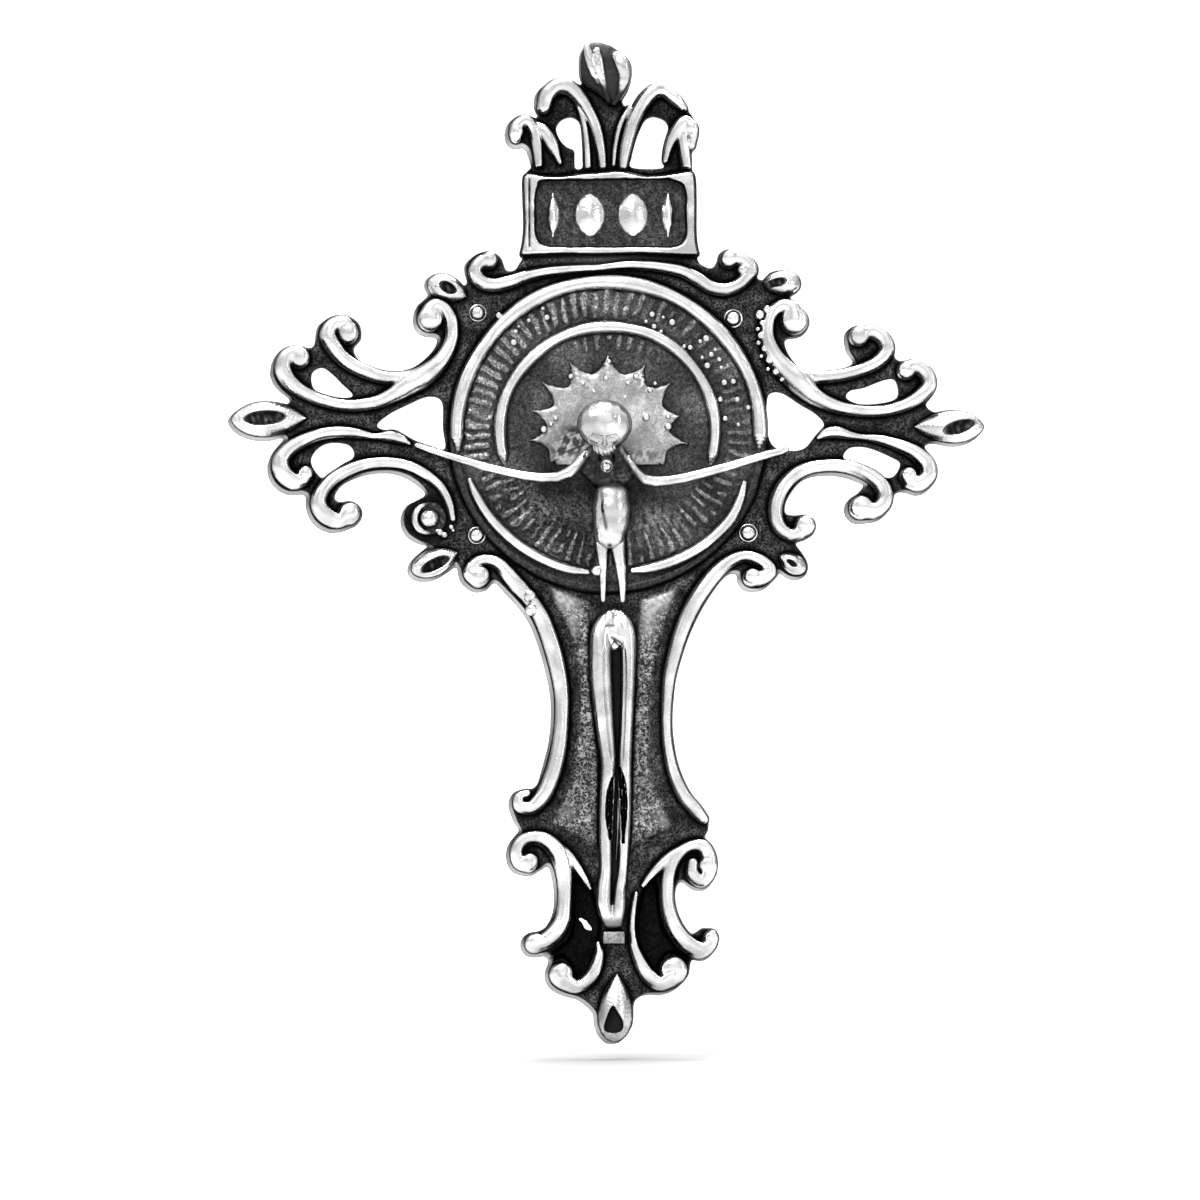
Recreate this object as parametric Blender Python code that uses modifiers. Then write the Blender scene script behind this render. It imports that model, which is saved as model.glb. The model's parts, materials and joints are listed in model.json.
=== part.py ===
"""Open-work crucifix pendant: a pierced back plate carrying a haloed medallion, corpus, titulus,
crest, scroll mouldings, almond leaves and studs, with a hinged bail on the back.

Frame: origin on the back face behind the centre of the halo, +X right, +Z up, front toward -Y.
Dimensions are in millimetres and are turned into metres as the meshes are made.
"""
import math
import bpy
import bmesh
from mathutils import Matrix, Vector

MM = 0.001

# ------------------------------------------------------------------ layers, back to front
PLATE_T = 1.30                      # pierced back plate
GAP = 0.05                          # solder gap between pieces
LAYER1 = PLATE_T + GAP              # where the mouldings are laid
DISC_T = 0.40                       # medallion disc
LAYER2 = LAYER1 + DISC_T + GAP      # where rings and rays are laid
RAY_T = 0.30
CROWN = 1.45                        # height of a moulding over its half width
LEAF_CROWN = 0.85
TIP_HALF = 0.084                    # half width left at the point of a leaf or bud
BAR_SIDES = 2                       # bevel resolution of the bars
BODY_SIDES = 3                      # bevel resolution of the torso and legs
FILL_TURN = math.radians(7.3)       # outlines are filled at a slant, so no two points share a row

# Finishes: base colour and roughness.
BRIGHT = {"colour": (0.62, 0.62, 0.63, 1.0), "rough": 0.25}
SATIN = {**BRIGHT, "rough": 0.45}
POLISHED = {**BRIGHT, "rough": 0.2}
DARK = {"colour": (0.10, 0.10, 0.105, 1.0), "rough": 0.45}
DARK_DISC = {**DARK, "rough": 0.40}

# ------------------------------------------------------------------ scroll mouldings
# Strands of each scroll: (x, z, half width). The line passes through every point.
STRANDS = {
    "border_scroll_top": [
        [(-8.36, 12.02, 0.457), (-8.93, 12.02, 0.492), (-9.35, 11.39, 0.492), (-9.00, 10.68, 0.492),
         (-8.08, 10.40, 0.478), (-6.96, 10.61, 0.464), (-5.76, 11.03, 0.408), (-4.36, 11.35, 0.365),
         (-2.53, 11.53, 0.337), (-0.56, 11.63, 0.295), (0.98, 11.81, 0.337), (2.39, 11.81, 0.365),
         (3.80, 11.67, 0.394), (5.13, 11.39, 0.422), (6.26, 10.82, 0.443), (7.17, 10.26, 0.450),
         (8.08, 10.09, 0.450), (8.93, 10.33, 0.436), (9.56, 10.82, 0.464), (9.98, 11.53, 0.527),
         (9.42, 12.16, 0.527), (8.57, 12.37, 0.492)],
    ],
    "scroll_upper_left": [
        [(-12.37, 7.87, 0.562), (-12.65, 8.50, 0.492), (-12.16, 9.00, 0.464), (-11.46, 8.64, 0.450),
         (-11.03, 7.87, 0.464), (-10.96, 6.75, 0.478), (-11.32, 5.76, 0.527), (-11.95, 4.85, 0.633),
         (-12.93, 4.01, 0.773), (-14.06, 3.37, 0.738), (-15.04, 2.74, 0.562), (-16.38, 2.18, 0.464),
         (-18.13, 1.97, 0.408), (-19.82, 2.25, 0.408), (-21.30, 2.85, 0.443), (-22.35, 3.65, 0.527),
         (-22.84, 4.57, 0.562), (-22.56, 5.41, 0.562), (-21.86, 5.69, 0.527)],
        [(-13.21, 4.01, 0.633), (-14.62, 3.87, 0.457), (-15.95, 3.97, 0.436), (-17.29, 4.43, 0.478),
         (-18.48, 5.13, 0.506), (-19.33, 6.11, 0.562), (-19.68, 6.96, 0.562), (-19.33, 7.59, 0.527),
         (-18.62, 7.73, 0.527), (-18.13, 7.31, 0.492)],
    ],
    "scroll_upper_right": [
        [(13.00, 7.87, 0.633), (12.86, 8.64, 0.597), (12.23, 8.93, 0.492), (11.53, 8.50, 0.450),
         (11.17, 7.66, 0.464), (11.17, 6.54, 0.527), (11.67, 5.34, 0.618), (12.51, 4.36, 0.703),
         (13.49, 3.44, 0.773), (14.55, 2.53, 0.576), (15.95, 1.90, 0.457), (17.71, 1.58, 0.394),
         (19.47, 1.62, 0.394), (20.87, 2.04, 0.450), (21.93, 2.67, 0.534), (22.49, 3.44, 0.534),
         (22.28, 4.22, 0.520), (21.58, 4.71, 0.506), (20.94, 4.57, 0.478)],
        [(13.49, 3.72, 0.633), (14.76, 3.90, 0.450), (16.31, 4.08, 0.422), (17.71, 4.46, 0.436),
         (18.84, 4.99, 0.492), (19.54, 5.83, 0.534), (19.33, 6.61, 0.520), (18.62, 7.10, 0.506),
         (17.78, 7.03, 0.492)],
    ],
    "scroll_outer_lower_left": [
        [(-13.92, -0.70, 0.105), (-14.48, -0.42, 0.295), (-15.32, -0.18, 0.380),
         (-16.02, -0.18, 0.253), (-16.52, -0.18, 0.225), (-17.71, 0.04, 0.337),
         (-18.98, 0.11, 0.408), (-20.24, -0.07, 0.422), (-21.51, -0.56, 0.478),
         (-22.49, -1.19, 0.548), (-22.98, -1.97, 0.604), (-22.77, -2.81, 0.604),
         (-22.07, -3.37, 0.562), (-21.44, -3.23, 0.492)],
    ],
    "scroll_outer_lower_right": [
        [(14.76, -0.28, 0.141), (15.32, 0.04, 0.387), (16.09, 0.08, 0.408), (17.01, -0.13, 0.281),
         (17.92, -0.25, 0.197), (19.12, -0.42, 0.323), (20.45, -0.84, 0.422), (21.58, -1.41, 0.520),
         (22.35, -2.18, 0.590), (22.42, -2.95, 0.590), (21.79, -3.51, 0.562),
         (21.15, -3.37, 0.492)],
    ],
    "scroll_inner_lower_left": [
        [(-18.34, -5.76, 0.597), (-18.98, -6.11, 0.527), (-19.82, -5.76, 0.562),
         (-20.31, -4.99, 0.562), (-20.10, -4.08, 0.520), (-19.40, -3.23, 0.478),
         (-18.34, -2.60, 0.436), (-17.08, -2.14, 0.380), (-15.60, -2.00, 0.351),
         (-14.20, -2.18, 0.337), (-12.93, -2.74, 0.337), (-11.81, -3.65, 0.309),
         (-11.17, -4.78, 0.281), (-10.89, -5.97, 0.225)],
    ],
    "scroll_inner_lower_right": [
        [(17.85, -5.27, 0.597), (18.62, -5.41, 0.562), (19.26, -4.92, 0.562), (19.40, -4.22, 0.562),
         (18.98, -3.44, 0.534), (18.13, -2.81, 0.492), (16.94, -2.35, 0.450), (15.60, -2.21, 0.422),
         (14.27, -2.35, 0.436), (13.14, -2.85, 0.478), (12.30, -3.65, 0.506), (11.81, -4.71, 0.520),
         (11.74, -5.76, 0.492), (12.09, -6.68, 0.464), (12.79, -7.13, 0.422),
         (13.42, -6.96, 0.492)],
    ],
    "stem_border_left": [
        [(-9.14, -10.26, 0.562), (-9.70, -9.77, 0.457), (-9.35, -9.14, 0.436),
         (-8.57, -8.89, 0.422), (-7.73, -9.14, 0.450), (-7.03, -9.84, 0.492),
         (-6.33, -10.68, 0.520), (-5.48, -11.60, 0.478), (-4.71, -12.86, 0.534),
         (-4.08, -14.48, 0.562), (-3.58, -16.23, 0.562), (-3.27, -17.99, 0.520),
         (-3.23, -19.75, 0.492), (-3.37, -21.51, 0.520), (-3.65, -23.05, 0.562),
         (-4.08, -24.39, 0.576), (-4.64, -25.51, 0.562), (-5.41, -26.25, 0.478),
         (-6.18, -26.14, 0.422), (-6.26, -25.51, 0.365), (-5.69, -25.27, 0.281)],
    ],
    "stem_border_right": [
        [(10.05, -10.12, 0.527), (10.75, -10.12, 0.506), (11.32, -9.66, 0.492),
         (10.75, -9.00, 0.464), (9.77, -8.61, 0.394), (8.79, -8.82, 0.436), (7.73, -9.59, 0.534),
         (6.75, -10.75, 0.576), (5.90, -12.09, 0.562), (5.20, -13.63, 0.534), (4.71, -15.18, 0.492),
         (4.29, -16.94, 0.436), (4.11, -18.69, 0.365), (4.08, -20.45, 0.337), (4.18, -21.86, 0.351),
         (4.43, -23.26, 0.394), (4.85, -24.53, 0.436), (5.41, -25.58, 0.464), (6.11, -26.39, 0.464),
         (6.68, -27.06, 0.351)],
    ],
    "foot_scroll_left": [
        [(-5.55, -30.29, 0.527), (-6.26, -30.08, 0.457), (-6.43, -29.24, 0.443),
         (-5.97, -28.53, 0.457), (-5.06, -28.36, 0.492), (-4.22, -28.67, 0.562),
         (-3.55, -29.45, 0.604), (-3.16, -30.57, 0.576), (-3.04, -31.84, 0.506),
         (-3.06, -33.10, 0.506), (-3.23, -34.16, 0.576), (-3.72, -35.00, 0.633),
         (-4.36, -35.56, 0.604), (-4.92, -35.81, 0.562)],
        [(-3.87, -28.89, 0.422), (-2.95, -29.59, 0.450), (-2.18, -30.50, 0.351),
         (-1.55, -31.42, 0.225), (-1.23, -31.91, 0.127)],
    ],
    "foot_scroll_right": [
        [(5.90, -30.15, 0.387), (5.90, -30.92, 0.457), (6.54, -31.42, 0.457), (7.03, -30.78, 0.520),
         (7.06, -29.80, 0.520), (6.61, -28.99, 0.492), (5.76, -28.96, 0.408), (4.92, -29.52, 0.422),
         (4.32, -30.64, 0.450), (4.11, -32.05, 0.478), (4.22, -33.45, 0.520), (4.71, -34.79, 0.562),
         (5.48, -35.77, 0.590), (6.40, -36.27, 0.590), (7.10, -35.84, 0.520),
         (7.20, -35.21, 0.422)],
        [(5.55, -29.03, 0.351), (4.50, -29.59, 0.380), (3.58, -30.36, 0.351), (2.88, -31.13, 0.253),
         (2.46, -31.70, 0.169)],
    ],
    "foot_leaf_left": [
        [(-0.70, -35.77, 0.183), (-0.63, -36.48, 0.337), (-0.88, -37.46, 0.464),
         (-1.41, -38.30, 0.478), (-2.25, -38.80, 0.464), (-3.23, -38.30, 0.633)],
    ],
    "foot_leaf_right": [
        [(1.97, -32.26, 0.155), (1.76, -33.45, 0.211), (1.69, -34.72, 0.225), (1.83, -35.98, 0.309),
         (2.25, -37.11, 0.422), (2.81, -38.02, 0.492), (3.58, -38.58, 0.492),
         (4.36, -38.23, 0.633)],
    ],
    "crest_scroll_left": [
        [(-0.39, 18.69, 0.267), (-0.53, 19.96, 0.323), (-0.95, 21.65, 0.394), (-1.76, 23.19, 0.450),
         (-2.67, 24.21, 0.534), (-3.62, 24.32, 0.562), (-4.29, 23.76, 0.562),
         (-4.53, 22.84, 0.478)],
        [(-1.44, 18.69, 0.253), (-1.49, 19.96, 0.239), (-1.62, 21.22, 0.211), (-1.83, 22.28, 0.183),
         (-2.11, 23.05, 0.169)],
    ],
    "crest_scroll_right": [
        [(1.05, 18.69, 0.309), (1.23, 19.96, 0.422), (1.69, 21.72, 0.478), (2.28, 22.98, 0.520),
         (3.09, 23.93, 0.548), (3.94, 24.00, 0.422), (4.64, 23.51, 0.450), (5.27, 22.84, 0.281)],
        [(0.39, 18.84, 0.141), (0.49, 20.10, 0.169), (0.84, 21.65, 0.197), (1.48, 22.84, 0.211)],
    ],
    "crest_leaf_left": [
        [(-6.47, 20.73, 0.394), (-6.47, 21.51, 0.436), (-5.83, 21.93, 0.422), (-5.27, 21.37, 0.380),
         (-4.99, 20.24, 0.337), (-4.85, 18.84, 0.253)],
        [(-5.13, 21.79, 0.197), (-4.53, 21.19, 0.436), (-3.94, 20.21, 0.436),
         (-3.37, 18.98, 0.155)],
    ],
    "crest_leaf_right": [
        [(5.83, 20.24, 0.281), (5.90, 21.22, 0.394), (5.34, 21.79, 0.506), (4.74, 21.15, 0.450),
         (4.29, 20.31, 0.323), (4.01, 19.12, 0.197)],
        [(5.13, 21.30, 0.365), (5.34, 19.96, 0.394), (5.48, 18.77, 0.365)],
    ],
}
# Round bulbs that end the curls: (x, z, radius).
BULBS = {
    "border_scroll_top": [(-8.36, 12.12, 0.633), (8.43, 12.23, 0.668)],
    "scroll_upper_left": [(-12.51, 8.01, 0.879), (-21.65, 5.27, 0.738), (-18.27, 6.99, 0.773)],
    "scroll_upper_right": [(13.07, 7.87, 0.984), (20.87, 4.39, 0.668), (17.57, 6.82, 0.738)],
    "scroll_outer_lower_left": [(-21.30, -2.88, 0.597)],
    "scroll_outer_lower_right": [(21.01, -2.99, 0.597)],
    "scroll_inner_lower_left": [(-18.20, -5.62, 0.808)],
    "scroll_inner_lower_right": [(17.71, -5.20, 0.843), (13.78, -6.47, 0.738)],
    "stem_border_left": [(-9.07, -10.05, 0.738)],
    "stem_border_right": [(10.05, -10.12, 0.633)],
    "foot_scroll_left": [(-5.55, -30.08, 0.633), (-5.17, -35.77, 0.703)],
    "foot_scroll_right": [(6.96, -30.36, 0.668), (7.17, -35.42, 0.562)],
    "foot_leaf_left": [(-3.30, -37.95, 0.843)],
    "foot_leaf_right": [(4.57, -37.67, 0.984)],
    "crest_leaf_left": [(-6.47, 21.08, 0.492)],
    "crest_leaf_right": [(5.76, 21.37, 0.562)],
}

# ------------------------------------------------------------------ leaves and studs
# Almond leaves: the two ends (x, z), greatest half width, where along the leaf it is widest,
# and the hollow (start x, end x, half height) where there is one.
ALMONDS = {
    "terminal_left": ((-26.36, 0.98), (-21.22, 1.09), 1.230, 0.42, (-25.65, -22.42, 0.506)),
    "terminal_right": ((26.29, 0.49), (21.58, 0.49), 1.124, 0.42, (23.33, 25.86, 0.492)),
    "corner_leaf_upper_left": ((-12.44, 10.68), (-9.98, 9.63), 0.914, 0.36, None),
    "corner_leaf_upper_right": ((13.28, 10.54), (10.96, 10.61), 0.879, 0.38, None),
    "corner_leaf_lower_left": ((-13.70, -9.63), (-10.61, -8.36), 0.949, 0.42, None),
    "corner_leaf_lower_right": ((13.70, -9.56), (12.09, -8.57), 0.703, 0.40, None),
    "crest_bud": ((-0.42, 27.49), (0.56, 23.05), 1.792, 0.36, None),
    "foot_drop": ((0.42, -42.47), (0.63, -37.95), 1.195, 0.33, None),
}
ALMOND_STEPS = 7
HOLLOW_DEPTH = 0.492

STUDS = {
    "stud_upper_left": (-9.14, 8.47),
    "stud_upper_right": (8.79, 8.08),
    "stud_lower_left": (-9.21, -7.13),
    "stud_lower_right": (9.84, -6.96),
}
STUD_R = 0.5622
# Turned profiles (radius, height), from the crown down to the centre of the base.
STUD_PROFILE = [(0.0, 0.92), (STUD_R * 0.6, 0.8), (STUD_R * 0.95, 0.5), (STUD_R * 1.05, 0.25),
                (STUD_R * 1.05, 0.0), (0.0, 0.0)]
BOSS_PLACE = (-12.51, -5.94)
BOSS_PROFILE = [(0.0, 0.92), (0.4, 0.82), (0.62, 0.6), (0.75, 0.3), (1.25, 0.2), (1.25, 0.0),
                (0.0, 0.0)]

# ------------------------------------------------------------------ back plate
# Edge of the plate, (x, z), clockwise from the top as seen from the front.
PLATE_OUTLINE = [
    (-0.56, 27.23), (0.56, 26.99), (1.34, 26.14), (1.34, 24.88), (0.84, 23.68), (1.19, 22.91),
    (1.83, 23.05), (2.60, 24.04), (3.94, 24.18), (4.85, 23.54), (5.55, 22.70), (6.11, 21.79),
    (6.11, 20.66), (5.76, 19.54), (5.90, 18.41), (6.11, 18.06), (6.11, 12.79), (6.75, 11.74),
    (7.45, 11.67), (7.94, 12.44), (8.93, 12.65), (9.91, 12.09), (10.19, 11.17), (10.89, 10.68),
    (11.39, 11.32), (12.37, 11.39), (13.21, 10.82), (13.21, 10.19), (12.65, 9.56), (13.28, 8.86),
    (13.92, 8.15), (13.70, 7.24), (12.93, 6.82), (12.30, 6.61), (12.58, 5.62), (13.28, 4.71),
    (13.99, 4.22), (15.04, 4.29), (16.31, 4.43), (17.43, 4.92), (17.01, 5.76), (16.87, 6.75),
    (17.36, 7.45), (18.41, 7.52), (19.40, 7.03), (20.03, 6.26), (20.03, 5.41), (20.52, 5.06),
    (21.37, 5.13), (22.35, 4.64), (22.91, 3.80), (22.70, 2.74), (22.21, 2.04), (22.91, 1.48),
    (24.04, 1.62), (25.16, 1.34), (26.07, 0.63), (26.00, 0.21), (25.09, -0.42), (24.04, -0.63),
    (23.05, -0.49), (22.07, -0.84), (22.77, -1.76), (22.98, -2.74), (22.35, -3.65), (21.37, -3.94),
    (20.45, -3.94), (19.89, -4.43), (19.82, -5.13), (18.98, -5.83), (17.85, -6.04), (17.01, -5.48),
    (17.01, -4.78), (17.57, -4.22), (18.27, -3.65), (18.13, -3.23), (17.01, -2.81), (15.60, -2.67),
    (14.34, -2.81), (13.56, -3.23), (12.93, -3.94), (12.44, -4.78), (12.37, -5.62), (13.07, -5.76),
    (13.85, -5.76), (14.41, -6.33), (14.34, -7.03), (13.70, -7.38), (13.00, -7.59), (13.49, -8.29),
    (13.92, -9.00), (13.92, -9.77), (13.28, -10.05), (12.51, -9.84), (11.88, -9.42),
    (11.67, -10.05), (10.96, -10.75), (10.05, -10.82), (9.42, -10.33), (9.28, -9.56),
    (8.43, -9.70), (7.87, -10.26), (7.17, -11.24), (6.47, -12.44), (5.76, -13.85), (5.20, -15.39),
    (4.71, -17.08), (4.50, -18.77), (4.43, -20.45), (4.57, -21.86), (4.85, -23.19), (5.34, -24.53),
    (5.90, -25.51), (6.47, -26.21), (6.96, -27.06), (6.96, -27.90), (6.68, -28.39), (7.24, -29.10),
    (7.52, -30.01), (7.38, -31.13), (6.68, -31.77), (5.76, -31.63), (5.06, -31.20), (4.64, -32.19),
    (4.71, -33.31), (5.20, -34.44), (5.90, -35.21), (6.61, -34.72), (7.38, -34.93), (7.66, -35.63),
    (7.24, -36.41), (6.47, -36.83), (5.76, -36.83), (5.62, -37.95), (4.78, -38.87), (3.65, -39.22),
    (2.67, -39.22), (1.83, -39.78), (1.62, -40.76), (1.34, -41.61), (0.42, -42.17), (-0.42, -41.68),
    (-0.70, -40.76), (-1.12, -40.13), (-1.97, -39.50), (-2.95, -39.22), (-3.87, -38.72),
    (-4.15, -37.88), (-3.87, -37.04), (-4.36, -36.41), (-5.27, -36.41), (-5.83, -35.84),
    (-5.69, -35.21), (-4.99, -35.00), (-4.29, -34.65), (-3.72, -33.73), (-3.44, -32.68),
    (-3.44, -31.63), (-3.72, -30.57), (-4.22, -30.01), (-4.78, -30.50), (-5.55, -30.78),
    (-6.40, -30.43), (-6.82, -29.59), (-6.61, -28.60), (-5.97, -28.04), (-6.33, -27.20),
    (-6.68, -26.21), (-6.61, -25.58), (-6.04, -25.02), (-5.27, -24.95), (-4.71, -24.32),
    (-4.29, -22.91), (-3.87, -21.37), (-3.72, -19.75), (-3.80, -18.13), (-4.15, -16.38),
    (-4.64, -14.69), (-5.27, -13.14), (-5.97, -12.09), (-6.82, -11.17), (-7.66, -10.33),
    (-8.15, -10.26), (-8.57, -10.82), (-9.35, -10.82), (-10.05, -10.26), (-10.26, -9.56),
    (-10.68, -8.86), (-11.39, -9.63), (-12.51, -10.05), (-13.56, -9.77), (-13.63, -9.35),
    (-12.93, -8.57), (-12.02, -8.08), (-12.86, -7.52), (-13.92, -7.03), (-14.34, -6.04),
    (-14.06, -5.06), (-13.35, -4.71), (-12.65, -4.43), (-12.86, -3.72), (-13.92, -2.88),
    (-15.32, -2.53), (-16.87, -2.67), (-17.99, -3.09), (-18.91, -3.72), (-19.33, -4.57),
    (-18.77, -4.85), (-18.06, -4.78), (-17.36, -5.34), (-17.50, -6.11), (-18.34, -6.54),
    (-19.54, -6.68), (-20.52, -6.04), (-20.94, -5.06), (-20.87, -4.29), (-21.44, -3.94),
    (-22.42, -4.01), (-23.33, -3.37), (-23.68, -2.25), (-23.12, -1.12), (-22.35, -0.42),
    (-22.91, 0.07), (-24.18, -0.07), (-25.44, 0.28), (-26.14, 0.77), (-26.14, 1.19), (-25.44, 1.76),
    (-24.18, 2.11), (-22.84, 1.90), (-22.07, 2.39), (-22.91, 3.16), (-23.47, 4.15), (-23.26, 5.27),
    (-22.56, 5.90), (-21.58, 6.11), (-20.80, 5.97), (-20.45, 6.54), (-20.24, 7.59), (-19.40, 8.22),
    (-18.34, 8.29), (-17.50, 7.66), (-17.43, 6.61), (-17.99, 5.97), (-17.50, 5.06), (-16.73, 4.71),
    (-15.67, 4.43), (-14.48, 4.36), (-13.42, 4.78), (-12.44, 5.62), (-11.74, 6.47), (-11.95, 7.03),
    (-12.93, 7.24), (-13.42, 8.01), (-13.28, 9.00), (-12.58, 9.56), (-12.23, 9.98), (-12.30, 10.82),
    (-11.74, 11.24), (-10.82, 10.75), (-10.12, 10.26), (-9.77, 10.75), (-9.98, 11.74),
    (-9.28, 12.58), (-8.29, 12.79), (-7.52, 12.30), (-7.24, 11.46), (-6.54, 11.46), (-6.11, 12.09),
    (-5.90, 12.79), (-5.90, 18.06), (-5.34, 18.55), (-5.41, 19.96), (-6.04, 20.45), (-6.75, 20.45),
    (-6.96, 21.30), (-6.61, 22.14), (-5.76, 22.42), (-4.99, 22.07), (-4.71, 22.63), (-4.99, 23.40),
    (-4.71, 24.25), (-3.87, 24.74), (-2.81, 24.88), (-1.83, 24.46), (-1.76, 25.09), (-1.97, 26.14),
    (-1.48, 26.99),
]
# Openings through the plate, (x, z).
PLATE_OPENINGS = [
    [(-20.80, 4.22), (-20.10, 4.64), (-19.40, 4.22), (-18.69, 3.51), (-17.92, 2.74),
     (-18.41, 2.53), (-19.54, 2.67), (-20.66, 3.16)],
    [(16.73, 2.53), (17.01, 3.02), (17.99, 3.23), (19.26, 3.72), (20.10, 3.80), (20.38, 2.95),
     (20.10, 2.39), (18.84, 2.11), (17.57, 2.11)],
    [(-16.23, 0.63), (-15.32, 1.41), (-14.06, 2.04), (-12.65, 2.60), (-11.67, 2.25),
     (-11.60, 0.42), (-11.46, -1.05), (-12.44, -0.84), (-13.63, -0.42), (-14.90, 0.28),
     (-15.74, 0.28)],
    [(11.17, 2.39), (11.53, 2.88), (12.30, 2.81), (13.49, 2.04), (14.55, 1.41), (15.18, 0.63),
     (14.55, -0.14), (13.85, -0.98), (12.93, -1.19), (11.67, -0.91), (11.17, 0.28)],
    [(-20.87, -1.90), (-20.59, -1.27), (-19.96, -0.77), (-19.12, -0.63), (-18.13, -0.84),
     (-17.85, -1.62), (-18.84, -2.25), (-19.89, -3.16), (-20.59, -2.60)],
    [(16.52, -1.62), (16.87, -1.05), (17.57, -0.91), (18.48, -1.05), (19.82, -1.62),
     (20.52, -2.11), (20.03, -3.02), (19.12, -2.95), (18.13, -2.32), (17.01, -2.04)],
    [(-3.65, 21.37), (-3.37, 21.93), (-2.78, 22.21), (-2.28, 22.10), (-1.93, 21.65),
     (-1.83, 20.59), (-1.79, 19.61), (-1.83, 18.69), (-2.28, 18.66), (-2.35, 19.33),
     (-2.39, 19.89), (-2.88, 20.14), (-3.34, 20.59)],
    [(1.69, 18.69), (1.65, 19.40), (1.83, 20.17), (2.07, 20.94), (2.32, 21.51), (2.60, 22.00),
     (3.09, 22.24), (3.65, 22.14), (4.08, 21.86), (4.22, 21.40), (4.01, 20.66), (3.83, 19.96),
     (3.76, 19.26), (3.80, 18.66)],
]

parts = bpy.data.collections.new("crucifix_pendant")


# ------------------------------------------------------------------ shared tools
def new_object(name, data):
    obj = bpy.data.objects.new(name, data)
    parts.objects.link(obj)
    return obj


def take_primitive():
    """Move the primitive just added into the pendant's collection."""
    obj = bpy.context.object
    for coll in list(obj.users_collection):
        coll.objects.unlink(obj)
    parts.objects.link(obj)
    return obj


def material(name, colour, rough):
    mat = bpy.data.materials.new(name)
    mat.use_nodes = True
    bsdf = mat.node_tree.nodes["Principled BSDF"]
    bsdf.inputs["Base Color"].default_value = colour
    bsdf.inputs["Roughness"].default_value = rough
    bsdf.inputs["Metallic"].default_value = 1.0
    return mat


def finish_part(obj, name, finish=BRIGHT):
    obj.name = name
    obj.data.name = name
    obj.data.materials.clear()
    obj.data.materials.append(material(name + "_steel", **finish))
    return obj


def evaluated_mesh(obj):
    """Replace an object by a plain mesh of what its curve or modifiers evaluate to."""
    graph = bpy.context.evaluated_depsgraph_get()
    graph.update()
    mesh = bpy.data.meshes.new_from_object(obj.evaluated_get(graph))
    work = bmesh.new()
    work.from_mesh(mesh)
    bmesh.ops.remove_doubles(work, verts=work.verts, dist=2e-7)
    bmesh.ops.recalc_face_normals(work, faces=work.faces)
    work.to_mesh(mesh)
    work.free()
    new = new_object(obj.name, mesh)
    bpy.data.objects.remove(obj, do_unlink=True)
    return new


def combine(target, others, operation):
    """Boolean the others into or out of the target and leave one plain mesh."""
    for other in others:
        mod = target.modifiers.new(operation.lower(), "BOOLEAN")
        mod.operation = operation
        mod.solver = "EXACT"
        mod.use_self = operation == "UNION"
        mod.object = other
        target = evaluated_mesh(target)
        bpy.data.objects.remove(other, do_unlink=True)
    return target


def move(x, y, z):
    return Matrix.Translation((x * MM, y * MM, z * MM))


def swept(points, sides=BAR_SIDES):
    """A round bar through (x, z, half width), lying in the plane y = 0."""
    curve = bpy.data.curves.new("bar", "CURVE")
    curve.dimensions = "3D"
    curve.bevel_depth = MM
    curve.bevel_resolution = sides
    curve.use_fill_caps = True
    spline = curve.splines.new("POLY")
    spline.points.add(len(points) - 1)
    for point, (x, z, half) in zip(spline.points, points):
        point.co = (x * MM, 0.0, z * MM, 1.0)
        point.radius = half
    return evaluated_mesh(new_object("bar", curve))


def ellipsoid(centre, radii, segments, rings, lean=0.0):
    """An ellipsoid at centre, turned about X by lean degrees."""
    bpy.ops.mesh.primitive_uv_sphere_add(segments=segments, ring_count=rings, radius=MM)
    obj = take_primitive()
    obj.data.transform(move(*centre) @ Matrix.Rotation(math.radians(lean), 4, "X")
                       @ Matrix.Diagonal((*radii, 1.0)))
    return obj


def block(low, high):
    """A box between two corners."""
    bpy.ops.mesh.primitive_cube_add(size=1.0)
    obj = take_primitive()
    centre = [(a + b) / 2 for a, b in zip(low, high)]
    size = [(b - a) * MM for a, b in zip(low, high)]
    obj.data.transform(move(*centre) @ Matrix.Diagonal((*size, 1.0)))
    return obj


def back_cutter():
    """A box over everything behind y = 0."""
    return block((-60, 0, -60), (60, 20, 60))


def lay(obj, depth, crown=CROWN):
    """Crown a bar toward the front, cut it flat behind, and lay the flat on a layer."""
    obj.data.transform(Matrix.Diagonal((1.0, crown, 1.0, 1.0)))
    obj = combine(obj, [back_cutter()], "DIFFERENCE")
    obj.data.transform(move(0, -depth, 0))
    return obj


def filled_curve(outlines, thick):
    """Closed outlines filled in the XY plane; those inside the first are openings."""
    curve = bpy.data.curves.new("sheet", "CURVE")
    curve.dimensions = "2D"
    curve.fill_mode = "BOTH"
    curve.extrude = thick * MM / 2
    for outline in outlines:
        spline = curve.splines.new("POLY")
        spline.points.add(len(outline) - 1)
        spline.use_cyclic_u = True
        for point, (x, y) in zip(spline.points, outline):
            point.co = (x * MM, y * MM, 0.0, 1.0)
    return evaluated_mesh(new_object("sheet", curve))


def flat_piece(outlines, depth, thick):
    """A flat piece cut from (x, z) outlines, its back on a layer."""
    slant = Matrix.Rotation(FILL_TURN, 2)
    obj = filled_curve([[slant @ Vector(point) for point in line] for line in outlines], thick)
    obj.data.transform(move(0, -(depth + thick / 2), 0) @ Matrix.Rotation(math.pi / 2, 4, "X")
                       @ Matrix.Rotation(-FILL_TURN, 4, "Z"))
    return obj


def polar(radius, degrees):
    """(x, z) about the halo centre, counterclockwise from +X as seen from the front."""
    angle = math.radians(degrees)
    return radius * math.cos(angle), radius * math.sin(angle)


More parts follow.
